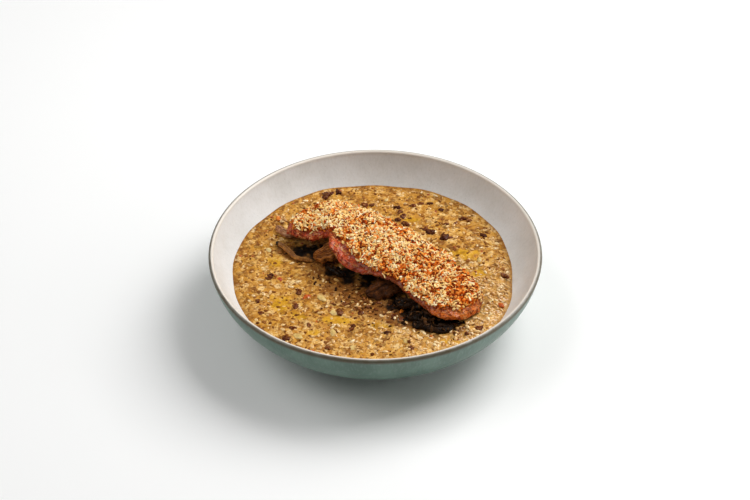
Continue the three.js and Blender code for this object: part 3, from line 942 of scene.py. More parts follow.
@dataclass
class Risotto:
    """The risotto up to its level, with grains half sunk in its cream and small pieces on it."""

    bowl: Bowl
    level: float = 29.5
    swell: float = 0.9
    edge_dip: tuple[float, float, float] = (4.2, 0.05, 0.22)  # lower on the right: depth, angle, reach
    into_wall: float = 0.3  # how far it reaches into the bowl, so that no gap shows
    into_floor: float = 0.2
    rings: int = 160
    sunk_grains: int = 2300
    sunk_reach: float = 96.0  # radius within which they lie
    grain: tuple[float, float, float] = (4.8, 2.6, 1.5)
    seed: int = 8105

    # Oil on the cream: place, half length, half width.
    OIL_POOLS = (
        (60, 18, 10, 6), (69, -3, 6, 4), (25, 55, 6, 3.5), (-62, -33, 7, 9), (-50, -45, 6, 4),
        (-22, -49, 14, 4), (4, -54, 7, 3.5), (-38, -62, 6, 3), (-68, 10, 5, 6), (48, -70, 6, 3),
    )
    # Spots of painted shadow, near black, on the cream close under the rasher: x, y and radius.
    PAINTED_SHADOW_SPOTS = (
        (-50, 21, 9), (-41, 21, 9), (-29, -1, 6), (-18, -8, 6), (-6, -14, 5), (8, -24, 7), (14, -34, 8),
        (24, -42, 12), (36, -49, 13), (47, -52, 10), (-17, 0, 8), (-6, -6, 7),
    )
    # Line of the brown juices and painted shade under the rasher's near side: x, y and how far they reach.
    JUICE_AND_SHADE_LINE = (
        (-62, 22, 6), (-40, 8, 11), (-26, -10, 18), (-8, -26, 22), (10, -38, 19), (30, -50, 13), (52, -58, 8),
    )

    def height(self, x: Array, y: Array) -> Array:
        """Gives the surface's slow rise and fall."""
        slow = np.sin(x / 17 + 1.3) * np.cos(y / 21) + 0.6 * np.sin((x + y) / 11)
        front = hump(x, -45, 40) * hump(y, -50, 30)
        return self.level + self.swell * (0.5 * slow + 0.6 * front)

    def edge(self, angle: Array) -> Array:
        """Gives the surface's height where it meets the bowl."""
        waves = 0.5 * np.sin(3 * angle + 0.5) + 0.3 * np.sin(7 * angle) + 0.2 * np.sin(17 * angle)
        dip, dip_angle, reach = self.edge_dip
        return self.level + waves - dip * hump(np.sin((angle - dip_angle) / 2), 0, reach)

    def _plan(self) -> tuple[Array, Array, Array]:
        """Gives the surface's points in rings of 6, 12, 18 and so on: x, y and the share of the way out."""
        parts = [np.zeros((1, 2))]
        for ring in range(1, self.rings + 1):
            angle = np.arange(6 * ring) * math.pi / (3 * ring)
            parts.append(np.column_stack([angle, np.full(6 * ring, ring / self.rings)]))
        angle, out = np.vstack(parts).T
        radius = (self.bowl.wall_radius(self.edge(angle)) + self.into_wall) * out
        return radius * np.cos(angle), radius * np.sin(angle), out

    def _faces(self) -> list[tuple[int, ...]]:
        """Joins the rings of the surface with triangles."""
        def start(ring: int) -> int:
            """First point of a ring."""
            return 0 if ring == 0 else 1 + 3 * ring * (ring - 1)

        faces = []
        for ring in range(self.rings):
            inner, outer, few, many = start(ring), start(ring + 1), max(6 * ring, 1), 6 * (ring + 1)
            for sector in range(6):
                for i in range(ring + 1):
                    a = inner + (sector * ring + i) % few
                    b = outer + (sector * (ring + 1) + i) % many
                    c = outer + (sector * (ring + 1) + i + 1) % many
                    faces.append((a, b, c))
                    if i < ring:
                        faces.append((a, c, inner + (sector * ring + i + 1) % few))
        return faces

    def _relief(self, x: Array, y: Array, smoothness: Array) -> tuple[Array, Array, Array]:
        """Lays half sunk grains into the surface.

        Args:
            x: the points' places.
            y: the points' places.
            smoothness: 0 where the relief is full, 1 where cream or oil hides it.

        Returns:
            The relief's height, how far each point is up a grain, and that grain's tint.
        """
        rng = np.random.default_rng(self.seed)
        rise, dome, tint = np.zeros(len(x)), np.zeros(len(x)), np.zeros(len(x))
        order = np.argsort(x)
        sorted_x = x[order]
        for _ in range(self.sunk_grains):
            radius = self.sunk_reach * math.sqrt(rng.random())
            angle, turn = rng.uniform(0, math.tau), rng.uniform(0, math.pi)
            length, width, tall = np.array(self.grain) * rng.uniform(0.55, 1.15)
            depth = rng.uniform(0.25, 0.8)
            cx, cy, shade = radius * math.cos(angle), radius * math.sin(angle), rng.random()
            near = order[np.searchsorted(sorted_x, cx - length):np.searchsorted(sorted_x, cx + length)]
            near = near[np.abs(y[near] - cy) < length / 2]
            u = (x[near] - cx) * math.cos(turn) + (y[near] - cy) * math.sin(turn)
            v = (y[near] - cy) * math.cos(turn) - (x[near] - cx) * math.sin(turn)
            inside = np.clip(1 - (2 * u / length) ** 2 - (2 * v / width) ** 2, 0, 1)
            up = tall * (np.sqrt(inside) - depth)
            better = up > rise[near]
            rise[near[better]] = up[better]
            dome[near[better]] = inside[better]
            tint[near[better]] = shade
        crumbly = 0.12 * Waviness(3, 1.7)(x, y) + 0.4 * Waviness(4, 3.4)(x, y)
        return (rise + crumbly) * (1 - 0.8 * smoothness), dome * (1 - 0.65 * smoothness), tint

    def _core(self) -> Shape:
        """Makes the whole body, with its values for the shader and for what lies on it."""
        x, y, out = self._plan()
        angle = np.arctan2(y, x)
        oil = np.zeros(len(x))
        ragged = Waviness(11, 4.0)(x, y) + 0.6 * Waviness(12, 1.8)(x, y)
        for cx, cy, half_length, half_width in self.OIL_POOLS:
            far = np.sqrt(((x - cx) / half_length) ** 2 + ((y - cy) / half_width) ** 2)
            oil = np.maximum(oil, 1 - smooth(0.5, 1.25, far + 0.45 * ragged))
        half_x, half_y = 92, 90  # about the risotto's radius
        right = smooth(0.35, 1.0, x / half_x) * smooth(0.3, -0.2, y / half_y)
        wet = np.clip(right + 0.85 * hump(y, -60, 28) * hump(x, 48, 42), 0, 1)
        smoothness = np.clip(0.72 * (1 - wet) + oil * 0.5 + smooth(0.965, 1.0, out), 0, 1)
        rise, dome, tint = self._relief(x, y, smoothness)
        share = smooth(0.9, 1.0, out)
        z = (self.height(x, y) + rise) * (1 - share) + (self.edge(angle) + 0.2 * rise) * share
        wall = self.bowl.inner_wall()
        rows = wall[wall[:, 1] < self.level - 5][::6]
        edge = 6 * self.rings
        around = angle[-edge:]
        low = []
        for radius, height in rows:
            far, deep = radius + self.into_wall, np.full(edge, height - self.into_floor)
            low.append(np.column_stack([far * np.cos(around), far * np.sin(around), deep]))
        bottom = [[0, 0, self.bowl.floor_height - self.into_floor]]
        points = np.vstack([np.column_stack([x, y, z]), *low, bottom])
        faces = self._faces()
        top = len(x) - edge
        here = np.arange(edge)
        after = (here + 1) % edge
        for row in range(len(rows)):
            upper, lower = top + row * edge, top + (row + 1) * edge
            band = np.stack([upper + here, lower + here, lower + after, upper + after], 1)
            faces += [tuple(face) for face in band.tolist()]
        last, pole = top + len(rows) * edge, len(points) - 1
        faces += [(last + i, pole, last + (i + 1) % edge) for i in range(edge)]
        hidden = np.zeros(len(points) - len(x))
        values = {"grain": dome, "tint": tint, "oil": oil, "wet": wet, "rim": smooth(0.965, 1.0, out)}
        marks = {name: np.concatenate([v, hidden]) for name, v in values.items()}
        return Shape(points, faces, marks).outward()

    def _juice_and_shade_share(self, x: Array, y: Array) -> Array:
        """Says how far brown juices and painted shade darken the cream, under the rasher's near side."""
        route = np.array(self.JUICE_AND_SHADE_LINE, float)
        far = np.full(len(x), np.inf)
        for start, end in zip(route, route[1:]):
            along = end[:2] - start[:2]
            share = np.clip(((x - start[0]) * along[0] + (y - start[1]) * along[1]) / (along @ along), 0, 1)
            reach = start[2] + (end[2] - start[2]) * share
            gap = np.hypot(x - start[0] - share * along[0], y - start[1] - share * along[1])
            far = np.minimum(far, gap / reach)
        return 1 - smooth(0.45, 1.1, far + 0.25 * Waviness(15, 5.0)(x, y))

    def _painted_shadow_share(self, x: Array, y: Array) -> Array:
        """Says how far the cream is painted near black as shadow, close under the rasher."""
        ragged = 0.3 * Waviness(16, 3.0)(x, y) + 0.15 * Waviness(17, 1.3)(x, y)
        most = np.zeros(len(x))
        for cx, cy, radius in self.PAINTED_SHADOW_SPOTS:
            most = np.maximum(most, 1 - smooth(0.55, 1.1, np.hypot(x - cx, y - cy) / radius + ragged))
        return most

    def build(self, covered: Callable[[Array, Array], Array]) -> list[bpy.types.Object]:
        """Makes the risotto and everything scattered in it.

        Args:
            covered: says for places how much the toppings cover them, 0 to 1.

        Returns:
            Its pieces.
        """
        core = self._core()
        x, y, _ = core.points.T
        count = 1 + 3 * self.rings * (self.rings + 1)
        top = np.zeros(len(core.points))
        top[:count] = 1.0
        free = top * (1 - covered(x, y)) * (core.marks["rim"] == 0)
        scorch = self._painted_shadow_share(x, y)
        # Where each kind of small piece may lie: field is all of the surface that shows and isn't painted as
        # shadow.
        most_painted_shadow = 0.2
        core.marks["field"] = free * (scorch < most_painted_shadow)
        core.marks["plain"] = core.marks["field"] * (1 - 0.85 * core.marks["oil"])
        core.marks["glossy"] = core.marks["field"] * (0.1 + 0.9 * core.marks["wet"])
        core.marks["spill"] = top * hump(x, -12, 17) * hump(y, -33, 13)
        core.marks["juice"] = np.clip(top * self._juice_and_shade_share(x, y), 0, 1)
        core.marks["scorch"] = top * scorch
        # From x = 0 rightwards the painted shadow also gets near-black scraps.
        core.marks["charred"] = core.marks["scorch"] * smooth(-2, 12, x)
        # The juices and painted shade, short of the near-black painted shadow, get dark brown scraps.
        core.marks["braise"] = core.marks["juice"] * (1 - core.marks["scorch"])
        body = core.piece("risotto_body", CreamyRice().material())
        rng = np.random.default_rng(self.seed + 1)
        tints = (rgb(188, 131, 55), rgb(208, 153, 74), rgb(228, 178, 103))
        rice = Bits("rice_grains", tints, 0.45, 0.05, specular=0.1)
        # The wet grains' palest tint is partly a painted glint.
        tints = (rgb(200, 144, 68), rgb(230, 182, 106), rgb(252, 226, 172))
        wet = Bits("wet_grains", tints, 0.14, 0.9, 0.2)
        tints = (rgb(98, 52, 20), rgb(124, 74, 32), rgb(150, 96, 46), rgb(176, 120, 62))
        dark = Bits("dark_mushroom_bits", tints, 0.6, 0.0, specular=0.05)
        tints = (rgb(224, 180, 108), rgb(240, 206, 146), rgb(214, 174, 92))
        pale = Bits("onion_bits", tints, 0.35, 0.15, 0.15)
        red = Bits("bacon_bits", (rgb(168, 78, 24), rgb(200, 110, 38), rgb(140, 58, 28)), 0.4, 0.1)
        toasted = Bits("fallen_crumbs", (rgb(96, 48, 14), rgb(150, 86, 30), rgb(204, 142, 68)), 0.5, 0.05)
        # Near-black scraps that roughen the painted shadow by the dark slices.
        tints = (rgb(14, 7, 3), rgb(48, 24, 9), rgb(98, 58, 26))
        black = Bits("scorched_bits", tints, 0.5, 0.0, specular=0.03)
        # Dark brown bits in the juices, which also deepen the painted shade under the rasher's near side.
        tints = (rgb(36, 17, 7), rgb(86, 48, 20), rgb(130, 80, 38), rgb(62, 31, 12))
        brown = Bits("braised_bits", tints, 0.45, 0.0, specular=0.04)
        grains = [self._grain(rng) for _ in range(5)]
        plump = [pebble(rng, (3.8, 2.4, 1.3), 0.2) for _ in range(5)]
        specks = [lump(rng, 1, (2.3, 1.7, 0.8), 0.35) for _ in range(5)]
        chunks = [pebble(rng, (3.6, 2.6, 1.3), 0.35) for _ in range(6)]
        flakes = [pebble(rng, (3.4, 2.5, 1.0), 0.25) for _ in range(4)]
        scraps = [pebble(rng, (4.2, 2.2, 1.1), 0.5) for _ in range(6)]
        fallen = crumbs(rng, 6)
        # Kinds and finish, then the Scatter's name, seed, spacing, density, scale, lift, tilt and mark.
        rows = [
            (plump, rice, "loose_grains", 21, 2.4, 6.0, (0.5, 1.0), (-0.6, -0.3), 10, "plain"),
            (grains, wet, "wet_grains", 22, 1.7, 16.0, (0.55, 1.0), (-0.45, 0.3), 20, "glossy"),
            (specks, dark, "dark_specks", 31, 1.8, 4.5, (0.7, 1.6), (-0.45, -0.2), 12),
            (chunks, dark, "dark_chunks", 32, 3.6, 1.9, (0.45, 1.15), (-0.5, -0.1), 20),
            (flakes, pale, "pale_flakes", 41, 3.0, 1.8, (0.45, 1.1), (-0.42, -0.2), 10),
            (chunks, red, "red_bits", 51, 7.0, 0.4, (0.3, 0.75), (-0.2, 0.1), 30),
            (fallen, toasted, "fallen_crumbs", 61, 1.4, 20.0, (0.5, 0.9), (0.0, 0.5), 40, "spill"),
            (scraps, black, "scorched_scraps", 71, 2.2, 10.0, (0.5, 1.1), (-0.2, 0.5), 35, "charred"),
            (scraps, brown, "braised_scraps", 72, 2.4, 6.0, (0.5, 1.1), (-0.3, 0.4), 30, "braise"),
        ]
        made = [settle(body, Slot.RISOTTO, "risotto")]
        for kinds, finish, *settings in rows:
            spread = Scatter(*settings).spread(body, kinds, finish.material())
            made.append(settle(spread, Slot.RISOTTO))
        return made

    def _grain(self, rng: np.random.Generator) -> Shape:
        """Makes one plump grain of rice."""
        length, width, _ = self.grain
        sides = 6
        share = np.array([-0.86, -0.45, 0.05, 0.5, 0.88])
        thick = np.sqrt(1 - share**2) * rng.uniform(0.9, 1.1, len(share))
        angle = np.linspace(0, math.tau, sides, endpoint=False)
        curl = rng.uniform(-0.5, 0.5)
        rings = np.empty((len(share), sides, 3))
        rings[:, :, 0] = (share * length / 2)[:, None]
        rings[:, :, 1] = thick[:, None] * np.cos(angle) * width / 2 + (curl * share**2)[:, None]
        rings[:, :, 2] = thick[:, None] * np.sin(angle) * width * 0.42
        tips = np.array([[-length / 2, curl, 0], [length / 2, curl, 0]])
        return skin(rings, tips[0], tips[1])


def crumbs(rng: np.random.Generator, count: int) -> list[Shape]:
    """Makes kinds of coarse bread crumb: two thin curled slivers, then a jagged chip, by turns.

    Args:
        rng: the draws that it uses.
        count: how many kinds.

    Returns:
        The kinds, each round the origin.
    """
    kinds = []
    share = np.array([-0.7, 0.0, 0.7])
    angle = np.linspace(0, math.tau, 3, endpoint=False)
    for number in range(count):
        if number % 3 == 2:
            kinds.append(lump(rng, 1, rng.uniform((2.4, 1.8, 1.0), (3.8, 2.7, 1.7)), 0.7))
            continue
        length, wide, curl = rng.uniform(3.4, 6.2), rng.uniform(1.1, 1.7), rng.uniform(-1.1, 1.1)
        middle = np.column_stack([share * length / 2, curl * share**2, rng.uniform(-0.2, 0.2, 3)])
        thick = rng.uniform(0.6, 1.2, 3) * wide / 2
        section = np.stack([0 * angle, np.cos(angle), 0.75 * np.sin(angle)], 1)
        rings = middle[:, None, :] + thick[:, None, None] * section[None]
        kinds.append(skin(rings, middle[0] * 1.35, middle[-1] * 1.35))
    return kinds


# ---- bacon rasher ----


@dataclass
class Rasher:
    """The bacon rasher, arched over the mushrooms, with toasted crumbs on all but its edges and ends."""

    risotto: Risotto
    thickness: float = 5.0
    tip_thickness: float = 6.6
    crumb_layer: float = 2.4
    roundness: float = 0.6
    ridge: tuple[float, float, float] = (9.0, 4.0, 10.2)  # at the tail, then its rise, then its fall
    drop: tuple[float, float] = (3.4, 4.2)  # from the ridge to the near edge and to the far edge
    ripple: float = 0.7
    rolled_up: float = 4.2  # how far the near edge rolls up beside the notch
    notch: float = 3.45 / 11  # shares of the length
    crisp: float = 0.56
    top: float = 51.1  # its highest crumb
    length: float = 150.0  # along its middle; with the half width, the scale of the waves on it
    half_width: float = 22.0
    edge_stretch: float = 3.0  # how far the waves along its edges change from side to side
    stations: int = 300
    sides: int = 120
    seed: int = 515

    # Stations from the narrow left tail to the broad right tip, in plan: near edge, far edge.
    PLAN = (
        ((-60, 27), (-59.5, 33)), ((-53, 23.5), (-55, 42)), ((-43, 20.5), (-46, 52)),
        ((-32.5, 22), (-34, 57)), ((-30, 4.5), (-20, 56)), ((-17, -11), (-2, 47)),
        ((0, -20), (15, 34)), ((15, -27), (32, 20)), ((28, -41), (48, 7)),
        ((42, -54), (60, -9)), ((57, -53), (68, -24)), ((68, -42), (70.5, -33)),
    )

    # Width of the bare band along the near edge, from tail to tip.
    BARE = (
        (0, 3.5), (0.12, 5), (0.28, 5.5), (0.34, 10), (0.38, 14), (0.42, 14), (0.46, 10),
        (0.51, 5), (0.57, 2), (0.68, 1.5), (0.76, 4), (0.84, 6.5), (0.93, 7.5), (1, 7),
    )

    # How dark the bare band is seared, from tail to tip.
    SEARED = (
        (0, 0.2), (0.12, 0.35), (0.28, 0.5), (0.32, 0.2), (0.4, 0.25), (0.48, 0.8),
        (0.72, 0.9), (0.8, 0.5), (0.9, 0.45), (0.96, 0.1), (1, 0.5),
    )

    def __post_init__(self) -> None:
        """Draws its two edges."""
        self.near = Route([near for near, _ in self.PLAN])
        self.far = Route([far for _, far in self.PLAN])

    def underside(self, along: Array, across: Array) -> Array:
        """Gives the underside's height over its plan.

        Args:
            along: 0 to 1 from tail to tip.
            across: -1 to 1 from the near to the far edge.

        Returns:
            The height at each place.
        """
        start, rise, fall = self.ridge
        ridge = start + rise * smooth(0, 0.3, along) - fall * smooth(0.5, 0.98, along)
        arch = np.where(across < 0, *self.drop) * across**2
        arch = arch * (1 - 0.75 * smooth(0.6, 1, along)) * smooth(0, 0.15, along)
        ripple = self.ripple * np.sin(along * 24) * (1 - 0.5 * across)
        rolled = self.rolled_up * hump(along, self.notch + 0.05, 0.045) * hump(across, -1, 0.4)
        rolled = rolled + 1.5 * hump(along, self.crisp, 0.1) * hump(across, -1, 0.3)
        return self.risotto.level + ridge - arch + ripple + rolled

    def slab(self, along: Array, across: Array | float = 0.0) -> Array:
        """Gives the meat's thickness, which is least along the crisp middle of its near edge."""
        body = self.thickness + (self.tip_thickness - self.thickness) * smooth(0.75, 1, along)
        crisp = 0.35 * hump(along, self.crisp, 0.12) * hump(across, -1, 0.35)
        ends = 0.35 + 0.65 * smooth(-0.02, 0.05, along) * smooth(-0.02, 0.06, 1 - along)
        return body * ends * (1 - crisp)

    def cover(self, along: Array, across: Array) -> Array:
        """Gives 1 where crumbs cover the meat, 0 on its bare edges and at its ends."""
        width = np.linalg.norm(self.far.at(along) - self.near.at(along), axis=-1)
        run, reach = along * self.length, across * self.edge_stretch
        from_near = (across + 1) / 2 * width + 1.2 * Waviness(75, 4.0)(run, reach)
        bare = np.interp(along, *np.array(self.BARE).T)
        from_far = (1 - across) / 2 * width + 1.5 * Waviness(80, 9.0)(run, reach)
        sideways = smooth(bare - 1.4, bare + 0.8, from_near) * smooth(1.0, 3.4, from_far)
        return sideways * smooth(0.04, 0.1, along) * (1 - smooth(0.95, 1, along))

    def point(self, along: Array, across: Array, lift: Array) -> Array:
        """Gives the points at a height over the underside."""
        near, far = self.near.at(along), self.far.at(along)
        plan = near + (far - near) * ((across + 1) / 2)[..., None]
        return np.concatenate([plan, (self.underside(along, across) + lift)[..., None]], -1)

    def _shape(self) -> Shape:
        """Makes the meat with its bed of crumbs."""
        along = (np.arange(self.stations) + 0.15) / (self.stations - 0.7)
        along = np.repeat(along[:, None], self.sides, 1)
        angle = np.arange(self.sides) * math.tau / self.sides
        cosine, sine = np.cos(angle), np.sin(angle)
        across = np.sign(cosine) * np.abs(cosine) ** self.roundness + 0 * along
        upright = np.sign(sine) * np.abs(sine) ** self.roundness + 0 * along
        bed = np.where(upright > 0, self.cover(along, across), 0.0)
        slab = self.slab(along, across)
        rings = self.point(along, across, slab * (1 + upright) / 2 + 0.42 * self.crumb_layer * bed)
        x, y = rings[..., 0], rings[..., 1]
        rings[..., 2] += 0.45 * Waviness(71, 3.0)(x, y) + 0.3 * Waviness(72, 1.2)(x, y) * (0.5 + bed)
        run, reach = along * self.length, across * self.half_width
        blistered = 0.55 * Waviness(76, 2.4)(run, reach) + 0.3 * Waviness(79, 1.1)(run, reach)
        rings[..., 2] += blistered * (1 - bed) * smooth(-0.6, 0.3, upright)
        frill = Waviness(73, 4.5)(run, across * self.edge_stretch)
        frill = (frill + 0.55 * Waviness(74, 1.5)(run, upright * 4)) * hump(np.abs(across), 1, 0.25)
        side = unit(self.far.at(along) - self.near.at(along))
        rings[..., :2] += side * frill[..., None]
        tips = np.array([0.0, 1.0])
        ends = self.point(tips, np.zeros(2), self.slab(tips) / 2)
        shape = skin(rings, ends[0], ends[1])
        values = {"along": along, "across": across, "cover": bed, "under": smooth(-0.2, -0.75, upright)}
        shape.marks = marks = with_poles(values)
        run = marks["along"]
        marks["sear"] = np.interp(run, *np.array(self.SEARED).T)
        marks["crumbs"] = smooth(0.15, 0.7, marks["cover"])
        x, y, _ = shape.points.T
        clusters = Waviness(77, 5.5)(x, y) + 0.8 * Waviness(78, 2.6)(x, y) - 0.5 * smooth(0.6, 0.95, run)
        clusters = clusters + 0.35 * hump(run, 0.27, 0.12)
        marks["pale"] = marks["crumbs"] * np.clip(smooth(-0.4, 0.15, clusters), 0.05, 1)
        return shape

    def build(self) -> list[bpy.types.Object]:
        """Makes the rasher and its crumbs."""
        meat = self._shape().piece("bacon_meat", FriedBacon().material())
        rng = np.random.default_rng(self.seed)
        kinds = crumbs(rng, 12)
        tints = (rgb(102, 30, 4), rgb(174, 66, 12), rgb(238, 114, 24), rgb(250, 162, 62))
        toasted = Bits("toasted_crumbs", tints, 0.5, 0.0, 0.2, specular=0.06)
        tints = (rgb(232, 128, 36), rgb(252, 174, 78), rgb(255, 204, 114), rgb(255, 220, 142))
        golden = Bits("golden_crumbs", tints, 0.55, 0.0, 0.1, specular=0.1)
        tints = (rgb(255, 208, 126), rgb(255, 226, 156), rgb(255, 240, 198))
        pale = Bits("pale_crumbs", tints, 0.6, 0.0, 0.05)
        # Finish, then the Scatter's name, seed, spacing, density, scale, lift, tilt, mark and shading.
        layers = [
            (toasted, "toasted_crumbs", 81, 1.25, 85.0, (0.65, 1.1), (-0.1, 0.8), 45, "crumbs", False),
            (golden, "golden_crumbs", 83, 1.5, 42.0, (0.6, 1.05), (0.2, 1.0), 45, "crumbs", False),
            (pale, "pale_crumbs", 82, 1.15, 120.0, (0.65, 1.1), (0.4, 1.4), 45, "pale", False),
        ]
        made = [settle(meat, Slot.BACON, "bacon_rasher")]
        for finish, *settings in layers:
            layer = Scatter(*settings).spread(meat, kinds, finish.material())
            for vertex in layer.data.vertices:
                vertex.co.z = min(vertex.co.z, self.top * MM)
            made.append(settle(layer, Slot.BACON))
        return made


# ---- mushrooms ----


class Tone(Enum):
    """How far a mushroom slice is fried."""

    GOLDEN = FriedMushroom(
        "golden_mushroom", rgb(196, 134, 66), rgb(142, 90, 40), rgb(76, 40, 14), dark_start=0.2)
    ROSY = FriedMushroom("rosy_mushroom", rgb(208, 150, 102), rgb(150, 92, 54), rgb(80, 38, 16))
    BROWN = FriedMushroom(
        "brown_mushroom", rgb(212, 132, 58), rgb(148, 86, 36), rgb(60, 28, 10), rough=0.3, coat=0.2)
    OLIVE = FriedMushroom(
        "olive_mushroom", rgb(112, 62, 26), rgb(66, 34, 14), rgb(22, 10, 4), rough=0.45, coat=0.08)
    DARK = FriedMushroom(
        "black_mushroom", rgb(56, 34, 15), rgb(24, 13, 5), rgb(6, 3, 2), rough=0.26, coat=0.06)


@dataclass
class Slice:
    """One mushroom slice, swept along its path of x, y and height over the risotto."""

    name: str
    path: tuple[tuple[float, float, float], ...]
    width: float
    thickness: float
    gills: int
    lean: float
    tone: Tone
    ragged: float = 0.45
    frayed: float = 0.12
    stations: int = 72
    wave: float = 0.075

    def _section(self) -> tuple[Array, Array, Array]:
        """Gives the section's x, y and groove depth, uneven gills on top and round below."""
        half, below = 0.86, 18  # half the gills' breadth, and the points of the round below them
        x = np.linspace(-half, half, 12 * self.gills + 13)
        place = self.gills * (x + half) / (2 * half) + 0.22 * np.sin(5.1 * x + len(self.name))
        ridge = 0.5 - 0.5 * np.cos(math.tau * place)
        top = (1 - 0.35 * x * x) * (0.72 + 0.28 * ridge)
        turn = np.linspace(0.0, math.pi, below)
        groove = np.append(1 - ridge, np.zeros(below))
        return np.append(x, np.cos(turn)), np.append(top, -np.sin(turn) ** 0.8), groove

    def shape(self, level: float) -> Shape:
        """Makes the slice over the risotto's level."""
        route = Route([(x, y, level + z) for x, y, z in self.path])
        along = (np.arange(self.stations) + 0.25) / (self.stations - 0.5)
        forward = route.direction(np.clip(along, 0.001, 0.999))
        side = unit(np.cross(UP, forward))
        side = side * math.cos(self.lean) + np.cross(forward, side) * math.sin(self.lean)
        normal = np.cross(forward, side)
        x, y, groove = self._section()
        swell = np.sqrt(1 - np.abs(2 * along - 1) ** 3) + self.wave * np.sin(along * 7.5 * 2.1)
        seed = 90 + len(self.name)
        run, reach = along[:, None] * self.length(), x[None] * self.width / 2
        turned = reach + 40 * (y < 0)  # the underside reads other waves than the top
        ragged = Waviness(seed, 3.6)(run, turned) + 0.5 * Waviness(seed + 1, 1.5)(run, turned)
        frayed = self.frayed * Waviness(seed + 2, 4.0)(run, 20 * np.sign(x)[None])
        width = (-x * 0.5 * self.width)[None] * (swell[:, None] + frayed)
        tall = y * 0.5 * self.thickness * (0.4 + 0.6 * swell)[:, None]
        tall = tall + self.ragged * ragged * swell[:, None]
        rings = route.at(along)[:, None] + side[:, None] * width[..., None]
        rings = rings + normal[:, None] * tall[..., None]
        ends = route.at(np.array([0.0, 1.0]))
        made = skin(rings, ends[0], ends[1])
        top = np.where(y > 0, 1.0, 0.0) * smooth(0.05, 0.15, along)[:, None]
        top = top * smooth(0.95, 0.85, along)[:, None]
        values = {"along": along[:, None], "across": x, "groove": groove, "top": top}
        made.marks = with_poles({name: value + 0 * width for name, value in values.items()})
        return made

    def length(self) -> float:
        """Gives the length of its path."""
        points = np.array(self.path)
        return float(np.linalg.norm(np.diff(points, axis=0), axis=1).sum())


@dataclass
class Mushrooms:
    """The fried slices under the rasher and along its near side."""

    risotto: Risotto
    gap: float = 0.3  # left under the rasher
    seed: int = 2207
    scraps_seed: int = 300

    SLICES = (
        Slice(
            "mushroom_fan",
            ((-41, 11.5, 1.2), (-36, 12, 3.6), (-30, 13.5, 5.6), (-21, 16.5, 7.2), (-8, 21, 7.8)),
            12, 7, 6, 0.2, Tone.BROWN, 0.4, 0.25),
        Slice(
            "mushroom_curl",
            ((-67.5, 26.5, 2.6), (-64, 25, 2.6), (-59, 19.5, 2.2), (-53, 12, 1.8), (-42, 9, 1.2)),
            3.5, 3.6, 1, -0.3, Tone.GOLDEN, 0.3, 0.25),
        Slice(
            "mushroom_tail",
            ((-68, 46, 0.8), (-65, 41.5, 2), (-60, 36, 3.4), (-51, 34, 5.2), (-38, 33, 7.4)),
            6, 3.8, 2, 0.1, Tone.ROSY, 0.35, 0.3),
        Slice(
            "mushroom_strip", ((-33, 4.5, 1), (-28, -0.5, 2.2), (-21, -6.5, 1)),
            5.6, 4, 1, 0.0, Tone.DARK, 0.45),
        Slice(
            "mushroom_cap",
            ((-6, -26, 0.8), (2, -23.5, 3.6), (12, -18.5, 6), (23, -12, 6.6), (34, -5, 4)),
            14, 6.6, 2, 0.3, Tone.OLIVE, 0.7, 0.35),
        Slice(
            "mushroom_dark_left", ((13, -33, 0.4), (18, -35.5, 2.4), (26, -37.5, 4.2), (35, -36, 4.8)),
            8.4, 4.8, 3, 0.4, Tone.DARK, 1.0, 0.4),
        Slice(
            "mushroom_dark_middle", ((20, -44, 0.8), (29, -48, 2.4), (39, -48.5, 3), (49, -44, 1.8)),
            8.6, 4.6, 3, 0.35, Tone.DARK, 1.0, 0.4),
        Slice(
            "mushroom_dark_right", ((24, -52, 0), (32, -56.5, 1.1), (42, -58.5, 1.2), (51, -56, 0.4)),
            7, 4.4, 2, 0.2, Tone.DARK, 0.9, 0.4),
    )

    def build(self, rasher: bpy.types.Object) -> list[bpy.types.Object]:
        """Makes the slices, pressed down where the rasher lies on them.

        Args:
            rasher: the meat that they stay under.

        Returns:
            The slices.
        """
        above = ray_tree(rasher)
        finishes = {tone: tone.value.material() for tone in Tone}
        rng = np.random.default_rng(self.seed)
        scraps = [lump(rng, 2, (4.4, 2.0, 0.9), 0.5) for _ in range(7)]
        tints = (rgb(10, 6, 3), rgb(46, 25, 11), rgb(98, 64, 32), rgb(26, 14, 6))
        crisp = Bits("black_scraps", tints, 0.4, 0.03, specular=0.04).material()
        made = []
        for part in self.SLICES:
            shape = part.shape(self.risotto.level)
            for point in shape.points:
                hit = above.ray_cast(Vector((point[0] * MM, point[1] * MM, 0.0)), Vector((0, 0, 1)))[0]
                if hit is not None:
                    point[2] = min(point[2], hit.z / MM - self.gap)
            slot = Slot.DARK_MUSHROOM if part.name.startswith("mushroom_dark") else Slot.MUSHROOM
            piece = shape.piece(part.name + "_slice", finishes[part.tone])
            made.append(settle(piece, slot, part.name))
            if part.tone is Tone.DARK:
                seed = self.scraps_seed + len(made)
                name = part.name + "_scraps"
                scatter = Scatter(name, seed, 2.0, 20.0, (0.5, 1.1), (-0.1, 0.8), 45, "top")
                settle(scatter.spread(piece, scraps, crisp), slot)
        return made


# ---- larger pieces in the risotto ----


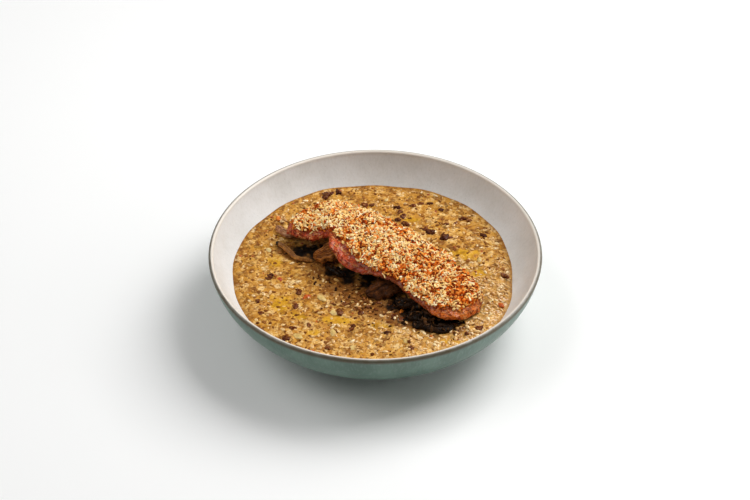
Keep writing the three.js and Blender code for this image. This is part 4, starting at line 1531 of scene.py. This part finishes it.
@dataclass
class Toppings:
    """Mushroom dice and vegetable flakes large enough to see one by one, at listed places."""

    risotto: Risotto
    sunk: float = 0.02  # how far a piece's middle lies under the surface, as a share of its length
    seed: int = 3307

    # Mushroom dice: x, y and length.
    DICE = (
        (-35, 82, 9), (-26, 86, 5.5), (-31, 85, 5), (-7, 72, 5.5), (-2, 72, 4), (16, 69, 5), (26, 71, 5),
        (32, 73, 4), (17, 64, 4.5), (19, 59, 5), (16, 55, 4), (12, 53, 4), (14, 48, 4.5), (21, 50, 6),
        (38, 41, 6.5), (35, 44, 4.5), (47, 35, 6.5), (51, 35, 4), (46, 66, 5), (60, 56, 5), (65, 54, 4),
        (49, 50, 4), (38, 73, 4), (55, 51, 3.5), (86, -5, 5), (68, -16, 4), (74, 38, 4),
        (-71, -6, 5), (-69, -4, 3.5), (-50, -22, 5), (-52, -37, 5), (-20, -34, 4), (-23, -43, 5.5),
        (-9, -43, 5), (-14, -55, 5), (0, -39, 4), (2, -32, 4), (-15, -58, 4), (-43, -55, 4.5),
        (-53, -58, 4.5), (-57, -68, 5), (-74, -43, 4.5), (-77, -31, 4), (7, -61, 4.5), (59, -29, 4),
        (22, -76, 4.5), (-30, -76, 4.5), (59, -63, 5), (66, -58, 6), (12, -45, 5), (17, -48, 5),
    )
    # Onion flakes and other pale pieces: x, y and length.
    FLAKES = (
        (-35, -28, 7), (-49, -66, 7), (-27, -42, 6), (-27, -62, 7), (-14, -75, 6), (-49, 59, 9), (-44, 54, 5),
        (20, -68, 6), (58, 4, 6), (70, 12, 5), (76, -30, 5), (8, 78, 5), (-72, 22, 5), (44, -78, 6),
    )
    # Orange and red pieces: x, y and length.
    RED = (
        (-67, 56, 5.5), (-63, -8, 5), (-45, -26, 6), (17, -40, 4), (82, -34, 5), (46, -80, 4), (-40, -80, 4),
    )

    def build(self) -> list[bpy.types.Object]:
        """Makes the three kinds, one piece for each."""
        rng = np.random.default_rng(self.seed)
        tints = (rgb(92, 50, 22), rgb(126, 76, 38), rgb(156, 104, 60))
        dice = Bits("dice_finish", tints, 0.45, 0.08, 1.2, 1.6, 0.08)
        flake = Bits("flake_finish", (rgb(214, 182, 108), rgb(232, 208, 146)), 0.3, 0.3, 0.2, 2.0)
        red = Bits("red_finish", (rgb(196, 82, 16), rgb(226, 130, 34)), 0.35, 0.2, 0.35, 1.2)
        kinds = {
            "mushroom_dice": (self.DICE, (1.0, 0.78, 0.5), 0.55, dice),
            "onion_flakes": (self.FLAKES, (1.0, 0.66, 0.26), 0.3, flake),
            "red_pieces": (self.RED, (1.0, 0.6, 0.4), 0.3, red),
        }
        made = []
        for name, (places, proportions, rough, finish) in kinds.items():
            shapes = []
            for x, y, length in places:
                shape = lump(rng, 3, length * np.array(proportions), rough)
                turn = rng.uniform(0, math.tau)
                cosine, sine = math.cos(turn), math.sin(turn)
                shape.points = shape.points @ np.array([[cosine, sine, 0], [-sine, cosine, 0], [0, 0, 1]])
                height = float(self.risotto.height(np.array(x), np.array(y)))
                shape.points += (x, y, height - self.sunk * length)
                shape.marks = {"tint": np.full(len(shape.points), rng.random())}
                shapes.append(shape)
            made.append(settle(joined(shapes).piece(name, finish.material()), Slot.RISOTTO))
        return made


# ---- studio ----


@dataclass
class Studio:
    """A pale floor, soft lights that are strongest from the right, and the camera."""

    lens: float = 85.0
    distance: float = 1170.0
    elevation: float = 39.48
    target: tuple[float, float, float] = (0.0, 0.0, 48.5)
    sensor: float = 36.0
    picture_width: float = 750.0
    shift: tuple[float, float] = (-0.3, -0.8)  # in pixels of a picture that wide
    sky: float = 0.12
    floor_side: float = 6000.0
    floor_gap: float = 0.05  # between the floor and the foot ring

    # Lights: name, azimuth, elevation, distance, power and size.
    LIGHTS = (
        ("key", 32.0, 50.0, 1.3, 17.6, 0.9),
        ("left", 180.0, 50.0, 1.8, 14.0, 1.4),
        ("low", 0.0, 15.0, 1.6, 6.0, 1.0),
    )

    def _aim(self, made: bpy.types.Object, place: Vector) -> None:
        """Moves an object to a place, looking at the target."""
        made.location = place
        made.rotation_euler = (Vector(self.target) * MM - place).to_track_quat("-Z", "Y").to_euler()

    def camera(self) -> None:
        """Makes the camera."""
        data = bpy.data.cameras.new("camera")
        data.lens, data.sensor_width = self.lens, self.sensor
        data.shift_x, data.shift_y = (shift / self.picture_width for shift in self.shift)
        made = placed("camera", data)
        rise = math.radians(self.elevation)
        back = Vector((0.0, -math.cos(rise), math.sin(rise))) * self.distance
        self._aim(made, (Vector(self.target) + back) * MM)
        bpy.context.scene.camera = made

    def light(
        self, name: str, azimuth: float, elevation: float, distance: float, power: float, size: float
    ) -> None:
        """Makes one soft square light.

        Args:
            name: its name.
            azimuth: degrees from +X towards +Y.
            elevation: degrees over the floor.
            distance: metres from the target.
            power: watts.
            size: metres.
        """
        data = bpy.data.lights.new(name, "AREA")
        data.energy, data.size = power, size
        made = placed(name, data)
        turn, rise = math.radians(azimuth), math.radians(elevation)
        flat = math.cos(rise)
        self._aim(made, distance * Vector((flat * math.cos(turn), flat * math.sin(turn), math.sin(rise))))

    def floor(self) -> None:
        """Makes the floor and marks it as no part of the dish."""
        side, low = self.floor_side / 2, -self.floor_gap
        corners = np.array([(-side, -side, low), (side, -side, low), (side, side, low), (-side, side, low)])
        paint = Paint("pale_floor")
        colour = paint.mix(paint.noise(180.0, 2.0), rgb(250, 250, 249), rgb(247, 247, 246))
        Shape(corners, [(0, 1, 2, 3)]).piece("floor", paint.finish(colour, 0.8))

    def build(self) -> None:
        """Sets up everything round the dish."""
        self.camera()
        self.floor()
        for light in self.LIGHTS:
            self.light(*light)
        world = bpy.data.worlds.new("soft_room")
        bpy.context.scene.world = world
        world.use_nodes = True
        background = world.node_tree.nodes["Background"]
        background.inputs["Color"].default_value = (1.0, 1.0, 1.0, 1.0)
        background.inputs["Strength"].default_value = self.sky
        bpy.context.scene.view_settings.view_transform = "Standard"


def covered_by(toppings: Sequence[bpy.types.Object]) -> Callable[[Array, Array], Array]:
    """Makes a function that says where toppings touch or nearly touch the risotto.

    Args:
        toppings: the pieces that lie on it.

    Returns:
        A function of places in millimetres that gives 1 under a topping and 0 elsewhere.
    """
    trees = [ray_tree(topping) for topping in toppings]
    reach = 34.0 * MM  # a few millimetres over the risotto's level
    half_length, half_width = 80, 65  # of a rectangle that holds all of them

    def covered(x: Array, y: Array) -> Array:
        """Says for each place whether something lies there."""
        under = np.zeros(len(x))
        box = (np.abs(x) < half_length) & (np.abs(y) < half_width)
        for i in np.flatnonzero(box):
            start = Vector((x[i] * MM, y[i] * MM, 0.0))
            under[i] = any(tree.ray_cast(start, Vector((0, 0, 1)), reach)[0] is not None for tree in trees)
        return under

    return covered


def main() -> None:
    """Builds the dish, from the bowl up, and what is round it."""
    logging.basicConfig(level=logging.INFO, format="%(name)s: %(message)s")
    bowl = Bowl()
    risotto = Risotto(bowl)
    bowl.build()
    meat, *_ = Rasher(risotto).build()
    slices = Mushrooms(risotto).build(meat)
    risotto.build(covered_by([meat, *slices]))
    Toppings(risotto).build()
    Studio().build()


if __name__ == "__main__":
    main()
